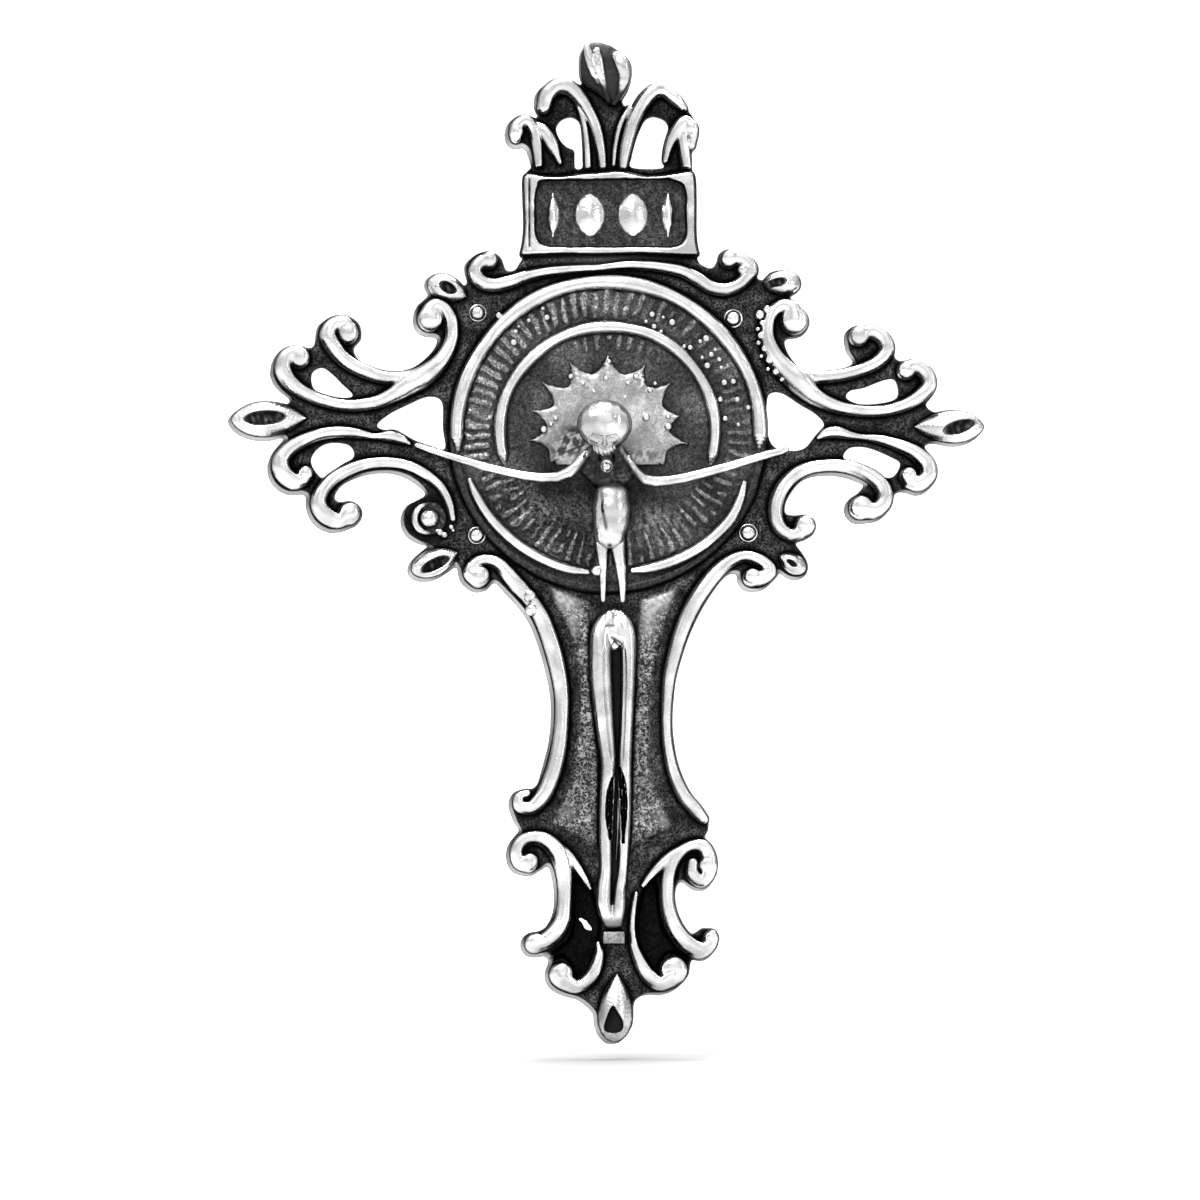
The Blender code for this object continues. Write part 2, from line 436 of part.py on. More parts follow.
# ------------------------------------------------------------------ plate and medallion
DISC_R = 10.964
RAY_TIPS = [(-7, 5.868), (14, 5.271), (39, 5.833), (61.7, 5.587), (90, 5.622), (118, 5.974),
            (142, 6.150), (163, 5.693), (185, 5.728)]       # angle, radius
# Between two tips: (fraction of the angle, radius).
RAY_SCALLOP = [(0.22, 4.639), (0.5, 4.322), (0.78, 4.639)]
RAY_FOOT_X, RAY_FOOT_Z = 3.865, -1.898                      # ends of the flat lower edge
# Halo rings: centre radius, half width, start and end angles, steps.
HALO_RINGS = {
    "halo_outer_ring": (10.669, 0.478, -3.0, 183.0, 30),
    "halo_inner_ring": (7.562, 0.394, -9.0, 189.0, 26),
}
RING_END_TAPER = 0.35
# (x, z, half width)
LOWER_ARCS = {
    "halo_lower_arc_left": [
        (-9.70, -3.37, 0.176), (-9.28, -4.22, 0.295), (-8.43, -5.62, 0.337), (-7.17, -7.03, 0.365),
        (-5.62, -8.22, 0.380), (-4.01, -9.07, 0.365), (-2.60, -9.52, 0.323), (-1.55, -9.70, 0.183)],
    "halo_lower_arc_right": [
        (9.49, -3.58, 0.197), (9.21, -4.64, 0.323), (8.50, -5.97, 0.365), (7.31, -7.24, 0.380),
        (5.90, -8.22, 0.380), (4.22, -9.03, 0.365), (2.81, -9.42, 0.323), (1.83, -9.59, 0.183)],
}


def cross_plate():
    finish_part(flat_piece([PLATE_OUTLINE] + PLATE_OPENINGS, 0.0, PLATE_T), "cross_plate", DARK)


def medallion_disc():
    circle = [polar(DISC_R, degrees) for degrees in range(0, 360, 6)]
    finish_part(flat_piece([circle], LAYER1, DISC_T), "medallion_disc", DARK_DISC)


def sunburst():
    """Uneven rays with scalloped valleys between them and a flat lower edge."""
    edge = [(RAY_FOOT_X, RAY_FOOT_Z)]
    for (angle, radius), (next_angle, _) in zip(RAY_TIPS, RAY_TIPS[1:]):
        for t, r in [(0.0, radius)] + RAY_SCALLOP:
            edge.append(polar(r, angle + (next_angle - angle) * t))
    last_angle, last_radius = RAY_TIPS[-1]
    edge += [polar(last_radius, last_angle), (-RAY_FOOT_X, RAY_FOOT_Z)]
    finish_part(flat_piece([edge], LAYER2, RAY_T), "sunburst", SATIN)


def halo():
    for name, (radius, half, start, end, steps) in HALO_RINGS.items():
        points = []
        for i in range(steps + 1):
            taper = RING_END_TAPER if i in (0, steps) else 1.0
            points.append((*polar(radius, start + (end - start) * i / steps), half * taper))
        finish_part(lay(swept(points), LAYER2), name)
    for name, points in LOWER_ARCS.items():
        finish_part(lay(swept(points), LAYER2), name)


# ------------------------------------------------------------------ corpus
# (x, z, half width)
TORSO = [(0.0, -0.98, 0.773), (0.0, -1.97, 1.054), (0.07, -3.09, 1.406), (0.14, -4.64, 1.335),
         (0.14, -6.18, 1.195), (0.14, -7.80, 1.124), (0.14, -9.28, 0.914)]
# Left arm, right arm, then the left and right strips below the torso.
LIMBS = [
    [(-0.98, -2.04, 0.562), (-2.11, -2.74, 0.422), (-3.65, -3.09, 0.323), (-5.76, -2.95, 0.281),
     (-8.29, -2.39, 0.253), (-10.40, -1.79, 0.225), (-12.09, -1.23, 0.211),
     (-13.14, -0.84, 0.155)],
    [(0.98, -2.18, 0.562), (2.11, -3.02, 0.422), (3.30, -3.30, 0.323), (5.20, -3.13, 0.281),
     (7.31, -2.60, 0.267), (9.42, -2.00, 0.253), (11.03, -1.51, 0.239), (12.16, -1.19, 0.197)],
    [(-0.35, -8.71, 0.562), (-0.42, -9.91, 0.387), (-0.42, -10.96, 0.309), (-0.42, -11.81, 0.169)],
    [(0.63, -8.71, 0.633), (0.74, -9.91, 0.527), (0.74, -10.96, 0.450), (0.70, -11.81, 0.281)],
]
LEGS = [(0.35, -12.30, 0.562), (0.42, -13.21, 1.054), (0.39, -14.83, 1.476), (0.35, -16.73, 1.546),
        (0.42, -18.69, 1.335), (0.56, -21.15, 1.160), (0.56, -23.26, 1.089), (0.49, -25.72, 1.054),
        (0.42, -28.39, 1.019), (0.35, -30.78, 0.843), (0.21, -32.75, 0.984), (0.42, -33.88, 0.808),
        (0.42, -34.58, 0.492)]
TORSO_CROWN = 1.1
LEGS_CROWN = 0.95
RAY_CUT_Z = -2.108                  # above this the torso is cut to clear the sunburst
RAY_CLEARANCE = 0.06
REST_X = (-0.351, 1.195)
REST_Z = (-35.773, -34.895)
REST_T = 0.7


def corpus_torso():
    torso = combine(swept(TORSO, BODY_SIDES), [swept(points) for points in LIMBS], "UNION")
    torso.data.transform(Matrix.Diagonal((1.0, TORSO_CROWN, 1.0, 1.0)))
    head = ellipsoid((-0.211, -1.75, 0.492), (1.898, 1.687, 1.757), 14, 10, lean=-28)
    neck = ellipsoid((-0.070, -1.0, -1.476), (0.8785, 0.984, 1.335), 10, 8)
    torso = combine(torso, [head, neck], "UNION")
    ray_cut = block((-60, -(RAY_T + RAY_CLEARANCE), RAY_CUT_Z), (60, 20, 60))
    torso = combine(torso, [back_cutter(), ray_cut], "DIFFERENCE")
    torso.data.transform(move(0, -LAYER2, 0))
    finish_part(torso, "corpus_torso")


def corpus_legs():
    finish_part(lay(swept(LEGS, BODY_SIDES), LAYER1, LEGS_CROWN), "corpus_legs")


def add_bevel(obj, width, segments):
    bevel = obj.modifiers.new("edge", "BEVEL")
    bevel.width = width * MM
    bevel.segments = segments


def foot_rest():
    rest = block((REST_X[0], -(LAYER1 + REST_T), REST_Z[0]), (REST_X[1], -LAYER1, REST_Z[1]))
    add_bevel(rest, width=0.12, segments=1)
    finish_part(rest, "foot_rest")


# ------------------------------------------------------------------ titulus
BOARD_RECT = (-6.044, 6.255, 12.580, 18.343)    # left, right, bottom, top
WELL_RECT = (-5.131, 5.341, 13.143, 17.851)
BOARD_FRONT = LAYER1 + 0.95
WELL_FLOOR = BOARD_FRONT - 0.50
BUD_Z = 15.321
BUD_HALF_HEIGHT = 1.546
# Buds in the well: x, half width, crown.
BUDS = [(-3.865, 0.527, 0.8), (-1.265, 1.054, 0.5), (1.757, 1.054, 0.5), (4.217, 0.527, 0.8)]


def upright_block(rect, near, far):
    left, right, bottom, top = rect
    return block((left, -far, bottom), (right, -near, top))


def titulus_board():
    board = upright_block(BOARD_RECT, LAYER1, BOARD_FRONT)
    add_bevel(board, width=0.18, segments=2)
    well = upright_block(WELL_RECT, WELL_FLOOR, BOARD_FRONT + 1)
    finish_part(combine(evaluated_mesh(board), [well], "DIFFERENCE"), "titulus_board")


def titulus_buds():
    for i, (x, wide, crown) in enumerate(BUDS, 1):
        points = [(x, BUD_Z + BUD_HALF_HEIGHT * rise, half) for rise, half in (
            (1.0, TIP_HALF), (0.6, wide * 0.62), (0.0, wide), (-0.6, wide * 0.62),
            (-1.0, TIP_HALF))]
        finish_part(lay(swept(points), WELL_FLOOR + GAP, crown), f"titulus_bud_{i}")


# ------------------------------------------------------------------ mouldings, leaves, studs
def moulding(name):
    """A scroll: its swept strands and end bulbs joined in one piece."""
    strands = [swept(points) for points in STRANDS[name]]
    bulbs = [ellipsoid((x, 0, z), (r, r, r), 10, 6) for x, z, r in BULBS.get(name, [])]
    finish_part(lay(combine(strands[0], strands[1:] + bulbs, "UNION"), LAYER1), name)


def almond(name):
    """A pointed leaf, crowned, with a hollow where it has one."""
    (x0, z0), (x1, z1), wide, widest_at, hollow = ALMONDS[name]
    points = []
    for i in range(ALMOND_STEPS + 1):
        t = i / ALMOND_STEPS
        if t < widest_at:
            phase = t / widest_at * 0.5
        else:
            phase = 0.5 + (t - widest_at) / (1 - widest_at) * 0.5
        half = max(TIP_HALF, wide * math.sin(math.pi * phase) ** 0.8)
        points.append((x0 + (x1 - x0) * t, z0 + (z1 - z0) * t, half))
    obj = lay(swept(points), LAYER1, LEAF_CROWN)
    if hollow:
        start, end, half = hollow
        x = (start + end) / 2
        z = z0 + (z1 - z0) * (x - x0) / (x1 - x0)
        cutter = ellipsoid((x, -(LAYER1 + wide * LEAF_CROWN), z),
                           ((end - start) / 2, HOLLOW_DEPTH, half), 12, 8)
        obj = combine(obj, [cutter], "DIFFERENCE")
    finish_part(obj, name)


def turned(name, place, profile):
    """A piece turned about an axis that faces the front, its base on the first layer."""
    mesh = bpy.data.meshes.new(name)
    edges = [(i, i + 1) for i in range(len(profile) - 1)]
    mesh.from_pydata([(r * MM, 0.0, h * MM) for r, h in profile], edges, [])
    obj = new_object(name, mesh)
    screw = obj.modifiers.new("turn", "SCREW")
    screw.steps = 12
    screw.render_steps = 12
    screw.use_merge_vertices = True
    screw.merge_threshold = 1e-6
    obj = evaluated_mesh(obj)
    x, z = place
    obj.data.transform(move(x, -LAYER1, z) @ Matrix.Rotation(math.pi / 2, 4, "X"))
    finish_part(obj, name)


# ------------------------------------------------------------------ bail on the back
PIN_Y, PIN_Z = 2.30, 16.446
PIN_R = 0.40
PIN_LEN = 5.60
BORE_R = 0.47
EAR_T = 0.80
EAR_IN = 1.45                       # inner face of each ear from the centre
EAR_R = 1.05
STRAP_WIDTH = 2.5
# Half side view of the strap, from the pin: (back, up), top to bottom.
BAIL_EDGE = [(0.0, 0.95), (0.50, 0.81), (0.84, 0.45), (0.97, -0.10), (1.10, -1.2), (1.36, -2.5),
             (1.56, -3.8), (1.60, -4.8), (1.44, -5.7), (1.05, -6.4), (0.5, -6.8), (0.0, -6.9)]
BAIL_EYE = [(0.0, -1.35), (0.40, -1.7), (0.63, -2.6), (0.84, -3.7), (0.90, -4.7), (0.80, -5.4),
            (0.48, -5.93), (0.0, -6.12)]


def pin_cylinder(radius, length, x=0.0):
    """A cylinder on the pin's axis, centred at x."""
    bpy.ops.mesh.primitive_cylinder_add(vertices=20, radius=radius * MM, depth=length * MM)
    obj = take_primitive()
    obj.data.transform(move(x, PIN_Y, PIN_Z) @ Matrix.Rotation(math.pi / 2, 4, "Y"))
    return obj


def bail_bracket():
    base = block((-2.9, GAP, PIN_Z - 2.6), (2.9, 0.75, PIN_Z + 1.6))
    ears = []
    for side in (-1, 1):
        x = side * (EAR_IN + EAR_T / 2)
        ears.append(block((x - EAR_T / 2, 0.5, PIN_Z - EAR_R), (x + EAR_T / 2, PIN_Y, PIN_Z + EAR_R)))
        ears.append(pin_cylinder(EAR_R, EAR_T, x))
    base = combine(base, ears, "UNION")
    finish_part(combine(base, [pin_cylinder(BORE_R, 8)], "DIFFERENCE"), "bail_bracket")


def bail_pin():
    bpy.ops.mesh.primitive_cylinder_add(
        vertices=20, radius=PIN_R * MM, depth=PIN_LEN * MM,
        rotation=(0.0, math.pi / 2, 0.0), location=(0.0, PIN_Y * MM, PIN_Z * MM))
    finish_part(take_primitive(), "bail_pin")


def mirrored(half):
    return half + [(-y, z) for y, z in half[-2:0:-1]]


def bail_loop():
    """The strap hangs from its own origin, on the pin's axis."""
    bore = [polar(BORE_R, 18 * k) for k in range(20)]
    loop = filled_curve([mirrored(BAIL_EDGE), mirrored(BAIL_EYE), bore], STRAP_WIDTH)
    # Outline x becomes Y, outline y becomes Z, and thickness runs along X.
    loop.data.transform(Matrix(((0, 0, 1, 0), (1, 0, 0, 0), (0, 1, 0, 0), (0, 0, 0, 1))))
    finish_part(loop, "bail_loop", POLISHED)
    loop.location = (0.0, PIN_Y * MM, PIN_Z * MM)


def build():
    for stale in list(bpy.data.objects):
        bpy.data.objects.remove(stale, do_unlink=True)
    bpy.context.scene.collection.children.link(parts)
    for piece in (cross_plate, medallion_disc, sunburst, halo, corpus_torso, corpus_legs,
                  foot_rest, titulus_board, titulus_buds, bail_bracket, bail_pin, bail_loop):
        piece()
    for name in STRANDS:
        moulding(name)
    for name in ALMONDS:
        almond(name)
    for name, place in STUDS.items():
        turned(name, place, STUD_PROFILE)
    turned("arm_boss_left", BOSS_PLACE, BOSS_PROFILE)


build()
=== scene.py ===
"""The crucifix pendant's finished look: cast, black-oxidised and hand-polished steel.

Every piece is a signed distance field on a fine grid, negative inside, and is then meshed.
Fields are in millimetres: +X is right, the front faces -Y and +Z is up.

Outlines lie on the layout sheet that the frame uses: u to the right, v down, in sheet units. The
unit's size and the sheet's origin are read from the CAD's titulus board, so the casting follows
the CAD. Half widths and radii that go with sheet points are in sheet units too.
"""
import itertools
import json
import math
import bpy
import numpy as np
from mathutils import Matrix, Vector


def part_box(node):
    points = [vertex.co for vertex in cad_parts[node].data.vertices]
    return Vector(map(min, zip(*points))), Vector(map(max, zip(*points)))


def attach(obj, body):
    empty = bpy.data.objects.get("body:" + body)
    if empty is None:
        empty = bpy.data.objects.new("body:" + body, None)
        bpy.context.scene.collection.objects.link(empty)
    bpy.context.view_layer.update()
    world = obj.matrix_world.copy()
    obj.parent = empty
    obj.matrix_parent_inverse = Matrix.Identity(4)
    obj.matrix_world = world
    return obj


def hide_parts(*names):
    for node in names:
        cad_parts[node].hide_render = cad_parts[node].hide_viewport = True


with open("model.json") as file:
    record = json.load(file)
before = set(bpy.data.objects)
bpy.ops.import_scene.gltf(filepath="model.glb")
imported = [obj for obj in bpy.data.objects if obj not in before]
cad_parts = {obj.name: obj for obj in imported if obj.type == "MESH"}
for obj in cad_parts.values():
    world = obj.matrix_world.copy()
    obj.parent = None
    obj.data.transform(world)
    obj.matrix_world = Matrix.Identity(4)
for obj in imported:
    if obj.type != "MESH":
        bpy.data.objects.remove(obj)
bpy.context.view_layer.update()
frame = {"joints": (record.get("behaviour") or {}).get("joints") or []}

MM = 0.001
PENDANT, BAIL = "pendant", "bail"

# Edges of the titulus board on the sheet, which fix the sheet's unit and origin.
BOARD_LEFT, BOARD_RIGHT, BOARD_TOP = 522.0, 697.0, 173.0
board_low, board_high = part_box("titulus_board")
UNIT = (board_high.x - board_low.x) / MM / (BOARD_RIGHT - BOARD_LEFT)
ORIGIN_U = BOARD_LEFT - board_low.x / MM / UNIT
ORIGIN_V = BOARD_TOP + board_high.z / MM / UNIT

# Heights in front of the pendant's back: the plate's thickness and the two layers on it.
plate_low, plate_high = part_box("cross_plate")
PLATE_T = (plate_high.y - plate_low.y) / MM
LAYER1 = -board_high.y / MM
LAYER2 = -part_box("halo_outer_ring")[1].y / MM
PIN_Y, PIN_Z = (frame["joints"][0]["pos_m"][axis] / MM for axis in (1, 2))

HALO_U, HALO_V, DISC_R = 608, 434, 158.5
STEP = 0.055                # sample spacing of the mouldings
LEAN = 0.26                 # how far a moulding's crown leans up and right, per height
SCROLL_CROWN = 1.5          # a moulding's height over its half width

# Scroll mouldings: (u, v, half width). The line passes through every point.
STRANDS = {
    "border_scroll_top": [
        [(489, 263, 6.5), (481, 263, 7), (475, 272, 7), (480, 282, 7), (493, 286, 6.8),
         (509, 283, 6.6), (526, 277, 5.8), (546, 272.5, 5.2), (572, 270, 4.8), (600, 268.5, 4.2),
         (622, 266, 4.8), (642, 266, 5.2), (662, 268, 5.6), (681, 272, 6), (697, 280, 6.3),
         (710, 288, 6.4), (723, 290.5, 6.4), (735, 287, 6.2), (744, 280, 6.6), (750, 270, 7.5),
         (742, 261, 7.5), (730, 258, 7)],
    ],
    "scroll_upper_left": [
        [(432, 322, 8), (428, 313, 7), (435, 306, 6.6), (445, 311, 6.4), (451, 322, 6.6),
         (452, 338, 6.8), (447, 352, 7.5), (438, 365, 9), (424, 377, 11), (408, 386, 10.5),
         (394, 395, 8), (375, 403, 6.6), (350, 406, 5.8), (326, 402, 5.8), (305, 393.5, 6.3),
         (290, 382, 7.5), (283, 369, 8), (287, 357, 8), (297, 353, 7.5)],
        [(420, 377, 9), (400, 379, 6.5), (381, 377.5, 6.2), (362, 371, 6.8), (345, 361, 7.2),
         (333, 347, 8), (328, 335, 8), (333, 326, 7.5), (343, 324, 7.5), (350, 330, 7)],
    ],
    "scroll_upper_right": [
        [(793, 322, 9), (791, 311, 8.5), (782, 307, 7), (772, 313, 6.4), (767, 325, 6.6),
         (767, 341, 7.5), (774, 358, 8.8), (786, 372, 10), (800, 385, 11), (815, 398, 8.2),
         (835, 407, 6.5), (860, 411.5, 5.6), (885, 411, 5.6), (905, 405, 6.4), (920, 396, 7.6),
         (928, 385, 7.6), (925, 374, 7.4), (915, 367, 7.2), (906, 369, 6.8)],
        [(800, 381, 9), (818, 378.5, 6.4), (840, 376, 6), (860, 370.5, 6.2), (876, 363, 7),
         (886, 351, 7.6), (883, 340, 7.4), (873, 333, 7.2), (861, 334, 7)],
    ],
    "scroll_outer_lower_left": [
        [(410, 444, 1.5), (402, 440, 4.2), (390, 436.5, 5.4), (380, 436.5, 3.6), (373, 436.6, 3.2),
         (356, 433.5, 4.8), (338, 432.5, 5.8), (320, 435, 6), (302, 442, 6.8), (288, 451, 7.8),
         (281, 462, 8.6), (284, 474, 8.6), (294, 482, 8), (303, 480, 7)],
    ],
    "scroll_outer_lower_right": [
        [(818, 438, 2), (826, 433.5, 5.5), (837, 432.8, 5.8), (850, 435.8, 4), (863, 437.5, 2.8),
         (880, 440, 4.6), (899, 446, 6), (915, 454, 7.4), (926, 465, 8.4), (927, 476, 8.4),
         (918, 484, 8), (909, 482, 7)],
    ],
    "scroll_inner_lower_left": [
        [(347, 516, 8.5), (338, 521, 7.5), (326, 516, 8), (319, 505, 8), (322, 492, 7.4),
         (332, 480, 6.8), (347, 471, 6.2), (365, 464.5, 5.4), (386, 462.5, 5), (406, 465, 4.8),
         (424, 473, 4.8), (440, 486, 4.4), (449, 502, 4), (453, 519, 3.2)],
    ],
    "scroll_inner_lower_right": [
        [(862, 509, 8.5), (873, 511, 8), (882, 504, 8), (884, 494, 8), (878, 483, 7.6),
         (866, 474, 7), (849, 467.5, 6.4), (830, 465.5, 6), (811, 467.5, 6.2), (795, 474.5, 6.8),
         (783, 486, 7.2), (776, 501, 7.4), (775, 516, 7), (780, 529, 6.6), (790, 535.5, 6),
         (799, 533, 7)],
    ],
    "stem_border_left": [
        [(478, 580, 8), (470, 573, 6.5), (475, 564, 6.2), (486, 560.5, 6), (498, 564, 6.4),
         (508, 574, 7), (518, 586, 7.4), (530, 599, 6.8), (541, 617, 7.6), (550, 640, 8),
         (557, 665, 8), (561.5, 690, 7.4), (562, 715, 7), (560, 740, 7.4), (556, 762, 8),
         (550, 781, 8.2), (542, 797, 8), (531, 807.5, 6.8), (520, 806, 6), (519, 797, 5.2),
         (527, 793.5, 4)],
    ],
    "stem_border_right": [
        [(751, 578, 7.5), (761, 578, 7.2), (769, 571.5, 7), (761, 562, 6.6), (747, 556.5, 5.6),
         (733, 559.5, 6.2), (718, 570.5, 7.6), (704, 587, 8.2), (692, 606, 8), (682, 628, 7.6),
         (675, 650, 7), (669, 675, 6.2), (666.5, 700, 5.2), (666, 725, 4.8), (667.5, 745, 5),
         (671, 765, 5.6), (677, 783, 6.2), (685, 798, 6.6), (695, 809.5, 6.6), (703, 819, 5)],
    ],
    "foot_scroll_left": [
        [(529, 865, 7.5), (519, 862, 6.5), (516.5, 850, 6.3), (523, 840, 6.5), (536, 837.5, 7),
         (548, 842, 8), (557.5, 853, 8.6), (563, 869, 8.2), (564.8, 887, 7.2), (564.5, 905, 7.2),
         (562, 920, 8.2), (555, 932, 9), (546, 940, 8.6), (538, 943.5, 8)],
        [(553, 845, 6), (566, 855, 6.4), (577, 868, 5), (586, 881, 3.2), (590.5, 888, 1.8)],
    ],
    "foot_scroll_right": [
        [(692, 863, 5.5), (692, 874, 6.5), (701, 881, 6.5), (708, 872, 7.4), (708.5, 858, 7.4),
         (702, 846.5, 7), (690, 846, 5.8), (678, 854, 6), (669.5, 870, 6.4), (666.5, 890, 6.8),
         (668, 910, 7.4), (675, 929, 8), (686, 943, 8.4), (699, 950, 8.4), (709, 944, 7.4),
         (710.5, 935, 6)],
        [(687, 847, 5), (672, 855, 5.4), (659, 866, 5), (649, 877, 3.6), (643, 885, 2.4)],
    ],
    "foot_leaf_left": [
        [(598, 943, 2.6), (599, 953, 4.8), (595.5, 967, 6.6), (588, 979, 6.8), (576, 986, 6.6),
         (562, 979, 9)],
    ],
    "foot_leaf_right": [
        [(636, 893, 2.2), (633, 910, 3), (632, 928, 3.2), (634, 946, 4.4), (640, 962, 6),
         (648, 975, 7), (659, 983, 7), (670, 978, 9)],
    ],
    "crest_scroll_left": [
        [(602.5, 168, 3.8), (600.5, 150, 4.6), (594.5, 126, 5.6), (583, 104, 6.4),
         (570, 89.5, 7.6), (556.5, 88, 8), (547, 96, 8), (543.5, 109, 6.8)],
        [(587.5, 168, 3.6), (586.8, 150, 3.4), (585, 132, 3), (582, 117, 2.6), (578, 106, 2.4)],
    ],
    "crest_scroll_right": [
        [(623, 168, 4.4), (625.5, 150, 6), (632, 125, 6.8), (640.5, 107, 7.4), (652, 93.5, 7.8),
         (664, 92.5, 6), (674, 99.5, 6.4), (683, 109, 4)],
        [(613.5, 166, 2), (615, 148, 2.4), (620, 126, 2.8), (629, 109, 3)],
    ],
    "crest_leaf_left": [
        [(516, 139, 5.6), (516, 128, 6.2), (525, 122, 6), (533, 130, 5.4), (537, 146, 4.8),
         (539, 166, 3.6)],
        [(535, 124, 2.8), (543.5, 132.5, 6.2), (552, 146.5, 6.2), (560, 164, 2.2)],
    ],
    "crest_leaf_right": [
        [(691, 146, 4), (692, 132, 5.6), (684, 124, 7.2), (675.5, 133, 6.4), (669, 145, 4.6),
         (665, 162, 2.8)],
        [(681, 131, 5.2), (684, 150, 5.6), (686, 167, 5.2)],
    ],
}
# Round bulbs that end the curls: (u, v, radius).
BULBS = {
    "border_scroll_top": [(489, 261.5, 9), (728, 260, 9.5)],
    "scroll_upper_left": [(430, 320, 12.5), (300, 359, 10.5), (348, 334.5, 11)],
    "scroll_upper_right": [(794, 322, 14), (905, 371.5, 9.5), (858, 337, 10.5)],
    "scroll_outer_lower_left": [(305, 475, 8.5)],
    "scroll_outer_lower_right": [(907, 476.5, 8.5)],
    "scroll_inner_lower_left": [(349, 514, 11.5)],
    "scroll_inner_lower_right": [(860, 508, 12), (804, 526, 10.5)],
    "stem_border_left": [(479, 577, 10.5)],
    "stem_border_right": [(751, 578, 9)],
    "foot_scroll_left": [(529, 862, 9), (534.5, 943, 10)],
    "foot_scroll_right": [(707, 866, 9.5), (710, 938, 8)],
    "foot_leaf_left": [(561, 974, 12)],
    "foot_leaf_right": [(673, 970, 14)],
    "crest_leaf_left": [(516, 134, 7)],
    "crest_leaf_right": [(690, 130, 8)],
}
# Small beads on the mouldings: height of their centres over the plate (mm), then (u, v, radius).
SCROLL_BEADS = {
    "stem_border_left": (0.55, [(529, 598, 6), (530, 611.5, 6)]),
    "scroll_upper_right": (0.42, [
        (758, 317, 4.8), (765.5, 311.5, 4.1), (773, 309.5, 3.1), (761, 325, 3.0),
        (756.5, 331, 2.4), (759.5, 337.5, 3.7), (757, 345, 2.6), (763, 350.5, 3.3),
        (760, 358, 2.2), (767.5, 362, 3.7), (766.5, 371, 2.2), (774, 374, 3.1),
        (780, 381.5, 2.0)]),
    "border_scroll_top": (0.45, [(749, 277, 4.2), (741, 272, 4.5)]),
}
# Almond leaves: u and v of both ends, greatest half width, where along the leaf it is widest,
# and height over half width.
LEAVES = {
    "terminal_left": (233, 420, 306, 418.5, 17.5, 0.42, 0.80),
    "terminal_right": (982, 427, 915, 427, 16.0, 0.42, 0.80),
    "corner_leaf_upper_left": (431, 282, 466, 297, 13.0, 0.36, 0.95),
    "corner_leaf_upper_right": (797, 284, 764, 283, 12.5, 0.38, 0.95),
    "corner_leaf_lower_left": (413, 571, 457, 553, 13.5, 0.42, 0.90),
    "corner_leaf_lower_right": (803, 570, 780, 556, 10.0, 0.40, 0.95),
    "foot_drop": (614, 1038.3, 617, 974, 17.0, 0.33, 0.95),
}
# The hollows in the leaves: u and v of both ends, half width, depth (mm).
HOLLOWS = {
    "terminal_left": (240, 420, 291, 416.5, 8.0, 0.85),
    "terminal_right": (978, 421, 941, 433, 7.2, 0.80),
    "corner_leaf_upper_left": (440, 283, 458, 294, 6.0, 0.75),
    "corner_leaf_upper_right": (787, 280, 763, 287, 5.2, 0.62),
    "corner_leaf_lower_left": (419, 573, 453, 556, 6.4, 0.85),
    "corner_leaf_lower_right": (797, 567, 785, 559, 3.0, 0.4),
}

